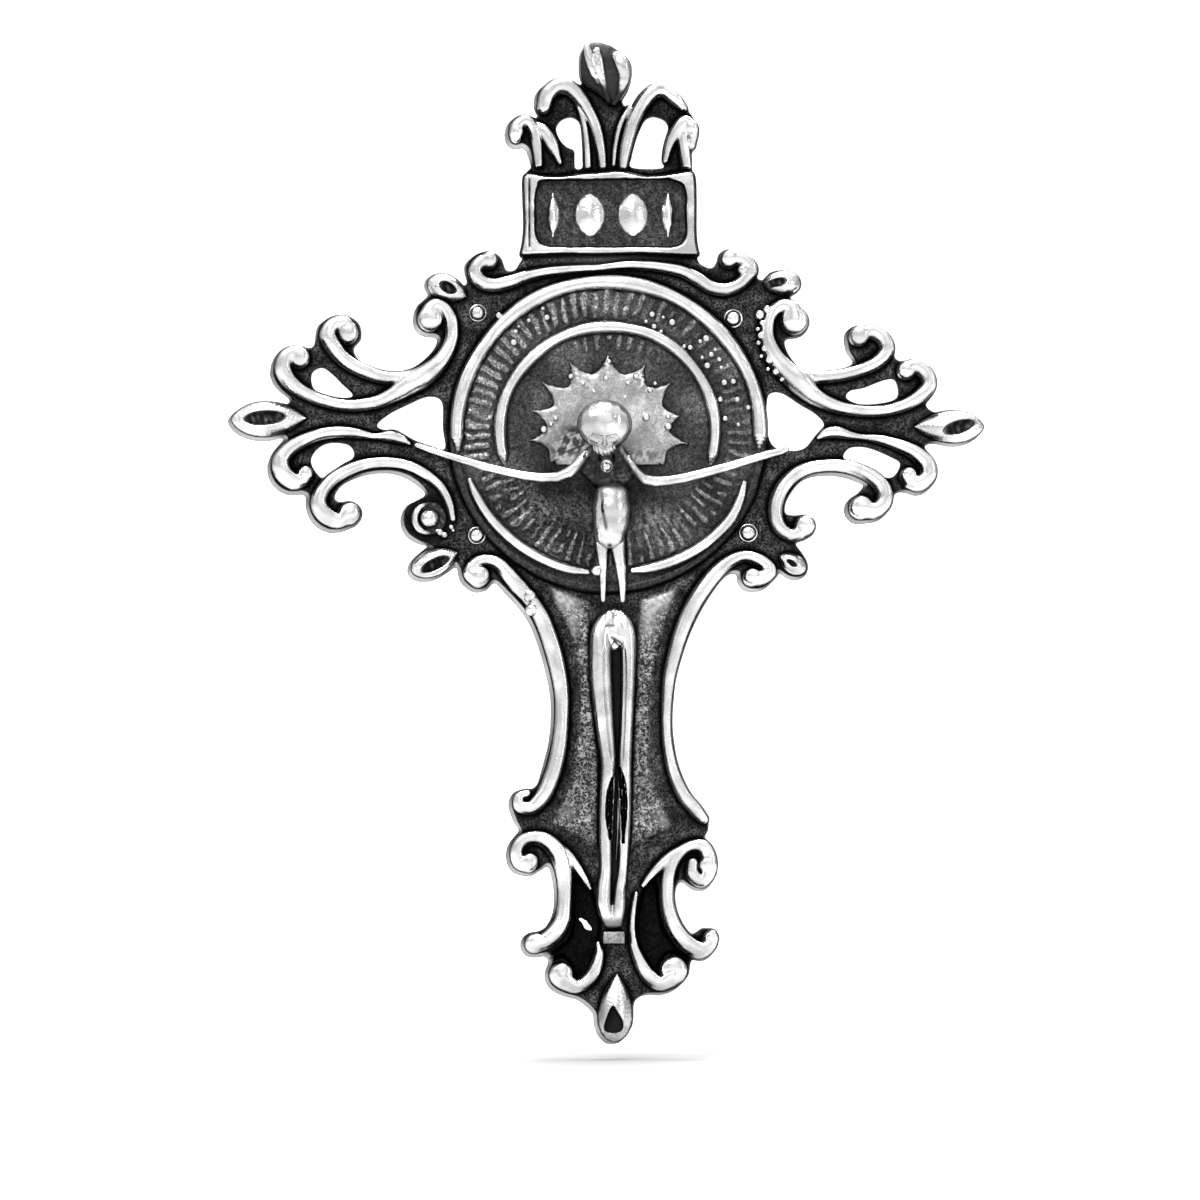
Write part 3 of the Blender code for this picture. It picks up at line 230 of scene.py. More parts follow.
# Outline of the back plate and its openings: (u, v).
PLATE_OUTLINE = [
    (600, 46.5), (616, 50), (627, 62), (627, 80), (620, 97), (625, 108), (634, 106), (645, 92),
    (664, 90), (677, 99), (687, 111), (695, 124), (695, 140), (690, 156), (692, 172), (695, 177),
    (695, 252), (704, 267), (714, 268), (721, 257), (735, 254), (749, 262), (753, 275), (763, 282),
    (770, 273), (784, 272), (796, 280), (796, 289), (788, 298), (797, 308), (806, 318), (803, 331),
    (792, 337), (783, 340), (787, 354), (797, 367), (807, 374), (822, 373), (840, 371), (856, 364),
    (850, 352), (848, 338), (855, 328), (870, 327), (884, 334), (893, 345), (893, 357), (900, 362),
    (912, 361), (926, 368), (934, 380), (931, 395), (924, 405), (934, 413), (950, 411), (966, 415),
    (979, 425), (978, 431), (965, 440), (950, 443), (936, 441), (922, 446), (932, 459), (935, 473),
    (926, 486), (912, 490), (899, 490), (891, 497), (890, 507), (878, 517), (862, 520), (850, 512),
    (850, 502), (858, 494), (868, 486), (866, 480), (850, 474), (830, 472), (812, 474), (801, 480),
    (792, 490), (785, 502), (784, 514), (794, 516), (805, 516), (813, 524), (812, 534), (803, 539),
    (793, 542), (800, 552), (806, 562), (806, 573), (797, 577), (786, 574), (777, 568), (774, 577),
    (764, 587), (751, 588), (742, 581), (740, 570), (728, 572), (720, 580), (710, 594), (700, 611),
    (690, 631), (682, 653), (675, 677), (672, 701), (671, 725), (673, 745), (677, 764), (684, 783),
    (692, 797), (700, 807), (707, 819), (707, 831), (703, 838), (711, 848), (715, 861), (713, 877),
    (703, 886), (690, 884), (680, 878), (674, 892), (675, 908), (682, 924), (692, 935), (702, 928),
    (713, 931), (717, 941), (711, 952), (700, 958), (690, 958), (688, 974), (676, 987), (660, 992),
    (646, 992), (634, 1000), (631, 1014), (627, 1026), (614, 1034), (602, 1027), (598, 1014),
    (592, 1005), (580, 996), (566, 992), (553, 985), (549, 973), (553, 961), (546, 952), (533, 952),
    (525, 944), (527, 935), (537, 932), (547, 927), (555, 914), (559, 899), (559, 884), (555, 869),
    (548, 861), (540, 868), (529, 872), (517, 867), (511, 855), (514, 841), (523, 833), (518, 821),
    (513, 807), (514, 798), (522, 790), (533, 789), (541, 780), (547, 760), (553, 738), (555, 715),
    (554, 692), (549, 667), (542, 643), (533, 621), (523, 606), (511, 593), (499, 581), (492, 580),
    (486, 588), (475, 588), (465, 580), (462, 570), (456, 560), (446, 571), (430, 577), (415, 573),
    (414, 567), (424, 556), (437, 549), (425, 541), (410, 534), (404, 520), (408, 506), (418, 501),
    (428, 497), (425, 487), (410, 475), (390, 470), (368, 472), (352, 478), (339, 487), (333, 499),
    (341, 503), (351, 502), (361, 510), (359, 521), (347, 527), (330, 529), (316, 520), (310, 506),
    (311, 495), (303, 490), (289, 491), (276, 482), (271, 466), (279, 450), (290, 440), (282, 433),
    (264, 435), (246, 430), (236, 423), (236, 417), (246, 409), (264, 404), (283, 407), (294, 400),
    (282, 389), (274, 375), (277, 359), (287, 350), (301, 347), (312, 349), (317, 341), (320, 326),
    (332, 317), (347, 316), (359, 325), (360, 340), (352, 349), (359, 362), (370, 367), (385, 371),
    (402, 372), (417, 366), (431, 354), (441, 342), (438, 334), (424, 331), (417, 320), (419, 306),
    (429, 298), (434, 292), (433, 280), (441, 274), (454, 281), (464, 288), (469, 281), (466, 267),
    (476, 255), (490, 252), (501, 259), (505, 271), (515, 271), (521, 262), (524, 252), (524, 177),
    (532, 170), (531, 150), (522, 143), (512, 143), (509, 131), (514, 119), (526, 115), (537, 120),
    (541, 112), (537, 101), (541, 89), (553, 82), (568, 80), (582, 86), (583, 77), (580, 62),
    (587, 50),
]
PLATE_OPENINGS = [
    [(312, 374), (322, 368), (332, 374), (342, 384), (353, 395), (346, 398), (330, 396),
     (314, 389)],
    [(846, 398), (850, 391), (864, 388), (882, 381), (894, 380), (898, 392), (894, 400),
     (876, 404), (858, 404)],
    [(377, 425), (390, 414), (408, 405), (428, 397), (442, 402), (443, 428), (445, 449),
     (431, 446), (414, 440), (396, 430), (384, 430)],
    [(767, 400), (772, 393), (783, 394), (800, 405), (815, 414), (824, 425), (815, 436),
     (805, 448), (792, 451), (774, 447), (767, 430)],
    [(311, 461), (315, 452), (324, 445), (336, 443), (350, 446), (354, 457), (340, 466),
     (325, 479), (315, 471)],
    [(843, 457), (848, 449), (858, 447), (871, 449), (890, 457), (900, 464), (893, 477),
     (880, 476), (866, 467), (850, 463)],
    [(556, 130), (560, 122), (568.5, 118), (575.5, 119.5), (580.5, 126), (582, 141), (582.5, 155),
     (582, 168), (575.5, 168.5), (574.5, 159), (574, 151), (567, 147.5), (560.5, 141)],
    [(632, 168), (631.5, 158), (634, 147), (637.5, 136), (641, 128), (645, 121), (652, 117.5),
     (660, 119), (666, 123), (668, 129.5), (665, 140), (662.5, 150), (661.5, 160), (662, 168.5)],
]
# A small slanting slot through the plate, left of the feet: (u, v, half width).
SLOT_LINE = ((580.5, 919.5, 1.5), (584.5, 922, 2.3), (586.5, 926, 3.0), (590.5, 929.5, 1.6))
# Raised fields of the stem, left and right, and the edge nearer each border: v, then u there.
STEM_FIELDS = [
    [(546, 583), (562, 590), (590, 602), (592, 640), (594, 700), (600, 760), (600, 850),
     (585, 842), (560, 832), (535, 826), (528, 823), (545, 815), (562, 800), (572, 770),
     (577, 735), (578, 700), (574, 665), (566, 635), (556, 607)],
    [(682, 582), (668, 590), (640, 600), (634, 640), (633, 700), (630, 760), (628, 850),
     (640, 842), (662, 833), (690, 830), (706, 829), (690, 818), (676, 800), (664, 775),
     (657, 740), (655, 700), (657, 665), (662, 635), (670, 610)],
]
FIELD_RIGHT = ([580, 599, 626, 652, 683, 724, 765, 786, 806, 825, 850],
               [690, 676, 664, 656.5, 652, 650, 650, 655.5, 663.5, 672, 660])
FIELD_LEFT = ([580, 600, 620, 642, 655, 680, 703, 734, 765, 786, 806, 823, 850],
              [546, 553, 562, 572, 575, 578, 579, 575, 573.5, 568, 560, 551, 570])
FOOT_POCKETS = [
    [(572, 879), (581, 879), (592, 890), (597, 905), (601.5, 922), (599, 940), (593, 958),
     (587, 974), (577, 983), (573, 976), (571, 966), (563, 957), (551, 961), (540, 961),
     (539, 954), (552, 950), (563, 943), (571, 933), (572, 905)],
    [(650, 878), (643, 888), (638, 905), (635.5, 925), (637, 940), (642, 952), (648, 965),
     (655, 981), (659, 975), (661, 962), (668, 953), (679, 955), (690, 964), (697, 960),
     (688, 955), (679, 947), (671, 938), (664.5, 930), (661, 915), (659, 895), (656, 881)],
]
BOARD_EDGE = [
    (523, 178), (530, 174), (545, 176.5), (560, 177), (580, 174.5), (600, 173), (617, 171.5),
    (632, 174), (645, 177), (660, 176), (676, 173.5), (690, 172), (695, 178), (696, 200),
    (696, 235), (698, 250), (699, 256), (690, 257), (640, 255), (600, 256), (560, 255.5),
    (528, 257), (520, 256), (522, 246), (524, 225), (523, 200)]
BOARD_WELL = [
    (546, 182.5), (600, 182), (660, 181), (673, 182.5), (682, 187), (685, 197), (684.5, 215),
    (685, 232), (682, 242), (672, 246.5), (640, 246.5), (600, 247), (560, 246.5), (547, 245.5),
    (539, 241), (536.5, 230), (536.5, 215), (537, 196), (539.5, 187)]


# ------------------------------------------------------------------ sheet, grids and fields
def to_x(u):
    return (u - ORIGIN_U) * UNIT


def to_z(v):
    return (ORIGIN_V - v) * UNIT


def sheet(x, z):
    """Sheet coordinates, measured from the halo's centre."""
    return x / UNIT + HALO_U, HALO_V - z / UNIT


def from_point(x, z, u, v):
    return np.hypot(x - to_x(u), z - to_z(v))


def halo_polar(x, z):
    """Right and up from the halo's centre, radius (sheet units) and angle (degrees)."""
    x, z = x - to_x(HALO_U), z - to_z(HALO_V)
    return x / UNIT, z / UNIT, np.hypot(x, z) / UNIT, np.degrees(np.arctan2(z, x))


class Grid:
    """A box of samples: fields are arrays (nx, ny, nz), plans are arrays (nx, nz)."""

    def __init__(self, low, high, step):
        self.step = step
        self.low = np.array(low, float)
        self.shape = tuple(int(math.ceil((b - a) / step)) + 1 for a, b in zip(low, high))
        self.x, self.y, self.z = ((start + step * np.arange(count)).astype(np.float32)
                                  for start, count in zip(low, self.shape))
        self.X, self.Z = np.meshgrid(self.x, self.z, indexing="ij")

    def empty(self):
        return np.full(self.shape, 9.0, np.float32)

    def height(self, base=0.0):
        """How far each sample is in front of a level."""
        return -(self.y[None, :, None] + base)

    def texture(self, size, seed):
        return ripple(self.X, self.Z, size, seed)[:, None, :]

    def samples(self, part=(slice(None),) * 3):
        return (self.x[part[0], None, None], self.y[None, part[1], None],
                self.z[None, None, part[2]])

    def cut(self, low, high):
        """Slices that cover a smaller box."""
        out = []
        for axis, start, end in zip((self.x, self.y, self.z), low, high):
            first = int(np.searchsorted(axis, start))
            last = int(np.searchsorted(axis, end, side="right"))
            out.append(slice(max(first - 1, 0), min(last + 1, len(axis))))
        return tuple(out)


def smin(a, b, blend):
    """Union of two fields, filleted over blend millimetres."""
    near = np.maximum(blend - np.abs(a - b), 0.0) / blend
    return np.minimum(a, b) - near * near * blend * 0.25


def smax(a, b, blend):
    return -smin(-a, -b, blend)


def slab(sides, above, blend):
    """What lies within some sides and under a top."""
    return smax(sides.astype(np.float32), above.astype(np.float32), blend)


def ease(x, low, high):
    t = np.clip((x - low) / (high - low), 0, 1)
    return t * t * (3 - 2 * t)


def between(x, start, full, fade, end):
    """Rises from start to full, and falls again from fade to end."""
    return ease(x, start, full) * (1 - ease(x, fade, end))


def spots(x, z, rows):
    """Sum of soft spots: (x, z, half width, half height, gain)."""
    return sum(gain * np.exp(-((x - cx) / wide) ** 2 - ((z - cz) / tall) ** 2)
               for cx, cz, wide, tall, gain in rows)


def sheet_spots(x, z, rows):
    """Soft spots placed on the sheet, for millimetre coordinates."""
    return spots(x, z, [(to_x(u), to_z(v), wide * UNIT, tall * UNIT, gain)
                        for u, v, wide, tall, gain in rows])


def ripple(x, z, size, seed):
    """Smooth irregular variation, roughly -1 to 1, with features of about the given size."""
    waves = 7
    rng = np.random.RandomState(seed)
    total = 0.0
    for _ in range(waves):
        angle = rng.uniform(0, 2 * math.pi)
        pace = 2 * math.pi / size * rng.uniform(0.6, 1.5)
        total = total + np.sin((x * math.cos(angle) + z * math.sin(angle)) * pace
                               + rng.uniform(0, 6.28))
    return total / math.sqrt(waves) * 0.8


def catmull(a, b, c, d, t):
    """A smooth curve from b to c."""
    return 0.5 * (2 * b + (c - a) * t + (2 * a - 5 * b + 4 * c - d) * t * t
                  + (3 * b - a - 3 * c + d) * t ** 3)


def spline(points):
    """A smooth line through sheet points (u, v, half width), in millimetres."""
    p = np.array(points, float)
    pad = np.vstack([2 * p[0] - p[1], p, 2 * p[-1] - p[-2]])
    pad[0, 2], pad[-1, 2] = p[0, 2], p[-1, 2]
    out = [catmull(*pad[i - 1:i + 3], t)
           for i in range(1, len(pad) - 2) for t in np.arange(6) / 6]
    q = np.array(out + [p[-1]])
    return np.stack([to_x(q[:, 0]), to_z(q[:, 1]), np.maximum(q[:, 2], 0.8) * UNIT], 1)


def to_segment(x, z, x0, z0, x1, z1):
    """Where along a segment each sample is nearest, 0 to 1, and how far it is from there."""
    dx, dz = x1 - x0, z1 - z0
    t = np.clip(((x - x0) * dx + (z - z0) * dz) / max(dx * dx + dz * dz, 1e-9), 0, 1)
    return t, np.hypot(x - x0 - t * dx, z - z0 - t * dz)


def scratch(u, v, ends, width):
    """One on a straight scratch, fading to nought beside it."""
    return np.exp(-(to_segment(u, v, *ends)[1] / width) ** 2)


def to_lines(x, z, lines):
    """Distance to the edges of some lines (x, z, half width), up to 9 mm."""
    best = 9.0
    for line in lines:
        for (x0, z0, r0), (x1, z1, r1) in zip(line, line[1:]):
            t, gap = to_segment(x, z, x0, z0, x1, z1)
            best = np.minimum(best, gap - (r0 + (r1 - r0) * t))
    return best


def along(X, Z, line):
    """Distance from each sample near a line to it, and the line's half width there."""
    best = np.full(X.shape, 1e6, np.float32)
    dist = np.full(X.shape, 1e3, np.float32)
    half = np.full(X.shape, 0.1, np.float32)
    for (x0, z0, r0), (x1, z1, r1) in zip(line, line[1:]):
        reach = max(r0, r1) + 1.2
        i0, i1 = np.searchsorted(X[:, 0], [min(x0, x1) - reach, max(x0, x1) + reach])
        k0, k1 = np.searchsorted(Z[0], [min(z0, z1) - reach, max(z0, z1) + reach])
        if i0 == i1 or k0 == k1:
            continue
        part = (slice(i0, i1), slice(k0, k1))
        t, gap = to_segment(X[part], Z[part], x0, z0, x1, z1)
        radius = r0 + (r1 - r0) * t
        closer = gap - radius < best[part]
        for kept, new in ((best, gap - radius), (dist, gap), (half, radius)):
            kept[part] = np.where(closer, new, kept[part])
    return dist, half


def beside(grid, line):
    return (plan[:, None, :] for plan in along(grid.X, grid.Z, line))


def polygon(X, Z, points):
    """Signed distance to a closed outline (x, z)."""
    p = np.array(points, np.float32)
    best = np.full(X.shape, 1e6, np.float32)
    inside = np.zeros(X.shape, bool)
    for (x0, z0), (x1, z1) in zip(p, np.roll(p, -1, 0)):
        dx, dz = x1 - x0, z1 - z0
        t = np.clip(((X - x0) * dx + (Z - z0) * dz) / max(dx * dx + dz * dz, 1e-12), 0, 1)
        best = np.minimum(best, (X - x0 - t * dx) ** 2 + (Z - z0 - t * dz) ** 2)
        if z0 != z1:
            inside ^= ((z0 > Z) != (z1 > Z)) & (X < (Z - z0) * dx / dz + x0)
    return np.where(inside, -np.sqrt(best), np.sqrt(best))


def outline(X, Z, points, each=1):
    """Signed distance to a closed sheet outline, smoothed with each points to a side."""
    p = np.array(points, float)
    count = len(p)
    smooth = [catmull(p[i - 1], p[i], p[(i + 1) % count], p[(i + 2) % count], t)
              for i in range(count) for t in np.arange(each) / each]
    return polygon(X, Z, [(to_x(u), to_z(v)) for u, v in smooth])


def soften(plan, cells):
    """A box blur run twice."""
    for _ in range(2):
        for axis in (0, 1):
            pad = [(0, 0), (0, 0)]
            pad[axis] = (cells + 1, cells)
            running = np.cumsum(np.pad(plan, pad, mode="edge"), axis=axis, dtype=np.float64)
            count = plan.shape[axis]
            high = np.take(running, np.arange(2 * cells + 1, 2 * cells + 1 + count), axis=axis)
            low = np.take(running, np.arange(0, count), axis=axis)
            plan = ((high - low) / (2 * cells + 1)).astype(np.float32)
    return plan


def ellipsoid(samples, centre, radii):
    x, y, z = samples
    q = np.sqrt(((x - centre[0]) / radii[0]) ** 2 + ((y - centre[1]) / radii[1]) ** 2
                + ((z - centre[2]) / radii[2]) ** 2)
    return (q - 1.0) * min(radii)


def capsule(samples, a, b, radius_a, radius_b):
    """A bar between two points with a radius at each end."""
    a, b = np.array(a, float), np.array(b, float)
    d = b - a
    x, y, z = (axis - start for axis, start in zip(samples, a))
    t = np.clip((x * d[0] + y * d[1] + z * d[2]) / float(d @ d), 0, 1)
    gap = np.sqrt((x - t * d[0]) ** 2 + (y - t * d[1]) ** 2 + (z - t * d[2]) ** 2)
    return gap - (radius_a + (radius_b - radius_a) * t)


def box_field(grid, low, high, edge):
    """A box with rounded edges."""
    q = [np.abs(axis - (a + b) / 2) - (b - a) / 2 + edge
         for axis, a, b in zip(grid.samples(), low, high)]
    out = np.sqrt(np.maximum(q[0], 0) ** 2 + np.maximum(q[1], 0) ** 2 + np.maximum(q[2], 0) ** 2)
    return out + np.minimum(np.maximum(np.maximum(q[0], q[1]), q[2]), 0) - edge


def crowned(gap, half, up, rise, power):
    """A bar or dome whose section is a superellipse, half wide and rise high."""
    return ((gap / half) ** power + (up / rise) ** power) ** (1 / power) * half - half


def bar_grid(lines, bulbs, base, top, step):
    """A grid that holds bars of height top on a base level."""
    ends = [np.array([(to_x(u), to_z(v), radius * UNIT)]) for u, v, radius in bulbs]
    p = np.vstack(lines + ends)
    low = (p[:, 0] - p[:, 2]).min() - 0.35, -(base + top) - 0.2, (p[:, 1] - p[:, 2]).min() - 0.35
    high = (p[:, 0] + p[:, 2]).max() + 0.35, -base + 0.35, (p[:, 1] + p[:, 2]).max() + 0.35
    return Grid(low, high, step)


def bar_field(grid, lines, bulbs, base, crown, seed, blend, power=2.2):
    """Bars with rounded crowns on a base level, joined to their end bulbs."""
    field = grid.empty()
    height = grid.height(base)
    up = np.maximum(height, 0.0)
    uneven = 1.0 + 0.035 * grid.texture(2.2, seed)
    for line in lines:
        gap, half = beside(grid, line)
        field = smin(field, crowned(gap, half, up / (crown * uneven), half, power), blend)
    for u, v, radius in bulbs:
        half = radius * UNIT
        # A curl's end is hardly higher than its bar.
        rise = min(crown * half, crown * 8.2 * UNIT)
        gap = from_point(grid.X, grid.Z, u, v)[:, None, :]
        field = smin(field, crowned(gap, half, up, rise, 2.5), blend)
    return np.maximum(field, -height - 0.22)


def add_beads(field, grid, beads, level, blend):
    """Fillet balls (u, v, radius), centred at a level, into a field in place."""
    for u, v, radius in beads:
        centre, radius = (to_x(u), -level, to_z(v)), radius * UNIT
        reach = radius + 0.15
        part = grid.cut([c - reach for c in centre], [c + reach for c in centre])
        x, y, z = (axis - c for axis, c in zip(grid.samples(part), centre))
        field[part] = smin(field[part], np.sqrt(x ** 2 + y ** 2 + z ** 2) - radius, blend)


def bead_mask(x, z, beads, edge=0.98):
    """One on the beads and nought off them."""
    out = 0.0
    for u, v, radius in beads:
        out = np.maximum(out, 1 - ease(from_point(x, z, u, v) / (radius * UNIT), 0.70, edge))
    return out


# ------------------------------------------------------------------ meshing
def surface(field, grid):
    """Surface nets: vertices (n, 3) in millimetres and quads (m, 4), facing out."""
    inside = field < 0
    count = np.zeros(tuple(size - 1 for size in field.shape), np.int8)
    corners = list(itertools.product((0, 1), repeat=3))
    for corner in corners:
        count += inside[tuple(slice(c, size - 1 + c) for c, size in zip(corner, field.shape))]
    cells = np.nonzero((count > 0) & (count < 8))
    total = np.zeros((len(cells[0]), 3))
    hits = np.zeros(len(cells[0]))
    for near in corners:
        for axis in range(3):
            if near[axis]:
                continue
            far = list(near)
            far[axis] = 1
            start, end = (field[tuple(c + o for c, o in zip(cells, corner))].astype(np.float64)
                          for corner in (near, far))
            crossing = (start < 0) != (end < 0)
            t = np.where(crossing, start / np.where(crossing, start - end, 1.0), 0.0)
            for k in range(3):
                total[:, k] += np.where(crossing, near[k] + (t if k == axis else 0.0), 0.0)
            hits += crossing
    verts = grid.low + (np.stack(cells, 1) + total / hits[:, None]) * grid.step
    index = np.full(count.shape, -1, np.int64)
    index[cells] = np.arange(len(cells[0]))
    quads = []
    for axis in range(3):
        low, high = [slice(1, -1)] * 3, [slice(1, -1)] * 3
        low[axis], high[axis] = slice(0, -1), slice(1, None)
        first, second = inside[tuple(low)], inside[tuple(high)]
        found = np.nonzero(first != second)
        base = [c + int(k != axis) for k, c in enumerate(found)]
        p, q = [k for k in range(3) if k != axis]
        ring = []
        for back_p, back_q in ((1, 1), (0, 1), (0, 0), (1, 0)):
            cell = list(base)
            cell[p] = base[p] - back_p
            cell[q] = base[q] - back_q
            ring.append(index[tuple(cell)])
        quad = np.stack(ring, 1)
        backward = first[found] == (axis == 1)
        quad[backward] = quad[backward][:, ::-1]
        quads.append(quad)
    return verts, np.concatenate(quads)


def relax(verts, quads, turns):
    """A little Laplacian smoothing, to take the grid's stepping out."""
    a = quads.T.ravel()
    b = np.roll(quads, -1, 1).T.ravel()
    count = len(verts)
    shared = np.bincount(a, minlength=count) + np.bincount(b, minlength=count)
    for _ in range(turns):
        mean = np.stack([np.bincount(a, verts[b, k], count) + np.bincount(b, verts[a, k], count)
                         for k in range(3)], 1)
        verts = verts + 0.5 * (mean / np.maximum(shared, 1)[:, None] - verts)
    return verts


def mesh_piece(name, field, grid, material, body=PENDANT, slot="polished_steel", turns=2,
               lean_from=None, stands_for=None, **tones):
    """Mesh a field, give it its material, and ride it on its body.

    lean_from: the height from which a bar leans. stands_for: the CAD piece, if not the name.
    tones: functions of (x, z, height) by the attribute's name; wear scales the polish, and rim
    is its least value.
    """
    field = field.astype(np.float32)
    for axis in range(3):
        edge = [slice(None)] * 3
        for end in (0, -1):
            edge[axis] = end
            field[tuple(edge)] = np.maximum(field[tuple(edge)], 0.01)
    verts, quads = surface(field, grid)
    verts = relax(verts, quads, turns)
    if lean_from is not None:
        rise = np.maximum(-verts[:, 1] - lean_from, 0.0) * LEAN
        verts[:, 0] += rise * 0.75
        verts[:, 2] += rise
    mesh = bpy.data.meshes.new(name)
    mesh.vertices.add(len(verts))
    mesh.vertices.foreach_set("co", (verts * MM).astype(np.float32).ravel())
    mesh.loops.add(len(quads) * 4)
    mesh.loops.foreach_set("vertex_index", quads.astype(np.int32).ravel())
    mesh.polygons.add(len(quads))
    mesh.polygons.foreach_set("loop_start", (np.arange(len(quads)) * 4).astype(np.int32))
    mesh.polygons.foreach_set("use_smooth", np.ones(len(quads), bool))
    for key, tone in tones.items():
        values = tone(verts[:, 0], verts[:, 2], -verts[:, 1])
        layer = mesh.attributes.new(key, "FLOAT", "POINT")
        layer.data.foreach_set("value", values.astype(np.float32))
    mesh.update(calc_edges=True)
    mesh.validate()
    obj = bpy.data.objects.new(f"{name}_cast", mesh)
    bpy.context.scene.collection.objects.link(obj)
    mesh.materials.append(material)
    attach(obj, body)
    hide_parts(stands_for or name)


# ------------------------------------------------------------------ materials
class Nodes:
    """Short calls for building one node tree. A value may be a number or another socket."""

    def __init__(self, tree):
        self.tree = tree

    def feed(self, socket, value):
        if isinstance(value, bpy.types.NodeSocket):
            self.tree.links.new(value, socket)
        else:
            socket.default_value = value

    def add(self, kind, inputs=None, **settings):
        item = self.tree.nodes.new("ShaderNode" + kind)
        for key, value in settings.items():
            setattr(item, key, value)
        for key, value in (inputs or {}).items():
            self.feed(item.inputs[key], value)
        return item

    def math(self, operation, first, second=None, clamp=False):
        inputs = {0: first} if second is None else {0: first, 1: second}
        return self.add("Math", inputs, operation=operation, use_clamp=clamp).outputs[0]

    def span(self, value, low, high, to_low=0.0, to_high=1.0, kind="SMOOTHSTEP"):
        return self.add("MapRange", {"From Min": low, "From Max": high, "To Min": to_low,
                                     "To Max": to_high, "Value": value},
                        interpolation_type=kind).outputs[0]


def steel(name, bright, dark, edge, rough, cavity, grain=0.5, speck=0.0, streak=0.35, bump=0.10,
          worn=False, rimmed=False, low_only=False):
    """Oxidised steel: black oxide in the recesses and down the flanks, polish on the front.

    bright, dark: tone of the polish and the oxide. rough: the polish's roughness.
    edge: how far forward a face must look for the polish to start, and to be full.
    cavity: how near (mm) a surface must be enclosed to stay dark.
    grain, bump: the oxide's relief and its depth (mm). speck, streak: strength of the dark pits
    and of the broad uneven polish. low_only: pits only where the polish is poor.
    worn, rimmed: use the piece's wear and rim attributes.
    """
    material = bpy.data.materials.new(name)
    material.use_nodes = True
    nodes = Nodes(material.node_tree)
    math_node, span = nodes.math, nodes.span
    coord = nodes.add("TexCoord").outputs["Object"]
    normal = nodes.add("VectorTransform",
                       {"Vector": nodes.add("NewGeometry").outputs["Normal"]},
                       vector_type="NORMAL", convert_from="WORLD", convert_to="OBJECT")
    split = nodes.add("SeparateXYZ", {0: normal.outputs[0]})
    forward = math_node("ABSOLUTE", split.outputs["Y"])

    def noise(scale, detail, roughness, distortion=0.0):
        return nodes.add("TexNoise", {"Scale": scale, "Detail": detail, "Roughness": roughness,
                                      "Distortion": distortion, "Vector": coord}).outputs["Fac"]

    def attribute(key):
        return nodes.add("Attribute", attribute_name=key).outputs["Fac"]

    fine = noise(scale=7000.0, detail=3.0, roughness=0.7)
    medium = noise(scale=2600.0, detail=4.0, roughness=0.65)
    broad = noise(scale=420.0, detail=3.0, roughness=0.5, distortion=0.6)

    # Oxide stays where the surface turns away and where it is enclosed.
    wobble = math_node("MULTIPLY", math_node("SUBTRACT", medium, 0.5), 0.34)
    facing = span(math_node("ADD", forward, wobble), *edge)
    enclosed = nodes.add("AmbientOcclusion", {"Distance": cavity * MM}, samples=8)
    uneven = math_node("MULTIPLY", wobble, 0.35)
    open_air = span(math_node("ADD", enclosed.outputs["AO"], uneven), low=0.42, high=0.86)
    polish = math_node("MULTIPLY", facing, open_air, clamp=True)
    if worn:
        polish = math_node("MULTIPLY", polish, attribute("wear"), clamp=True)

    # Dark pits that the polish doesn't reach, then its broad unevenness.
    if speck > 0:
        pits = span(fine, low=0.455, high=0.56, to_low=1.0, to_high=1.0 - speck)
        patches = span(medium, low=0.42, high=0.58, to_low=1.0 - speck * 0.65)
        if low_only:
            pits = math_node("MAXIMUM", pits, span(polish, low=0.35, high=0.7))
            patches = math_node("MAXIMUM", patches, span(polish, low=0.35, high=0.7))
        pitted = math_node("MULTIPLY", polish, pits)
        polish = math_node("MULTIPLY", pitted, patches, clamp=True)
    tone = span(broad, low=0.30, high=0.72, to_low=1.0 - streak)
    polish = math_node("MULTIPLY", polish, tone, clamp=True)
    if rimmed:
        polish = math_node("MAXIMUM", polish, attribute("rim"), clamp=True)

    ramp = nodes.add("ValToRGB", {"Fac": polish})
    elements = ramp.color_ramp.elements
    elements[0].color = (dark, dark, dark * 1.03, 1)
    elements[1].color = (bright, bright, bright * 1.005, 1)
    level = dark + (bright - dark) * 0.36
    elements.new(0.5).color = (level, level, level * 1.01, 1)

    roughness = math_node("ADD", span(polish, 0.0, 1.0, 0.58, rough, "LINEAR"),
                          math_node("MULTIPLY", math_node("SUBTRACT", fine, 0.5), 0.18),
                          clamp=True)

    # Grain in the oxide and hairline scratches in the polish.
    mapping = nodes.add("Mapping", {"Rotation": (0.0, 0.6, 0.0),
                                    "Scale": (1800.0, 1800.0, 22000.0), "Vector": coord})
    scratches = nodes.add("TexNoise", {"Scale": 1.0, "Detail": 2.0, "Roughness": 0.5,
                                       "Vector": mapping.outputs[0]})
    relief = math_node("MULTIPLY", math_node("ADD", fine, medium),
                       span(polish, 0.0, 1.0, grain, grain * 0.12, "LINEAR"))
    height = math_node("ADD", relief, math_node("MULTIPLY", scratches.outputs["Fac"], 0.05))
    bumped = nodes.add("Bump", {"Strength": 0.8, "Distance": bump * MM, "Height": height})
    surface_inputs = material.node_tree.nodes["Principled BSDF"].inputs
    for key, value in (("Metallic", 1.0), ("Base Color", ramp.outputs["Color"]),
                       ("Roughness", roughness), ("Normal", bumped.outputs["Normal"])):
        nodes.feed(surface_inputs[key], value)
    return material


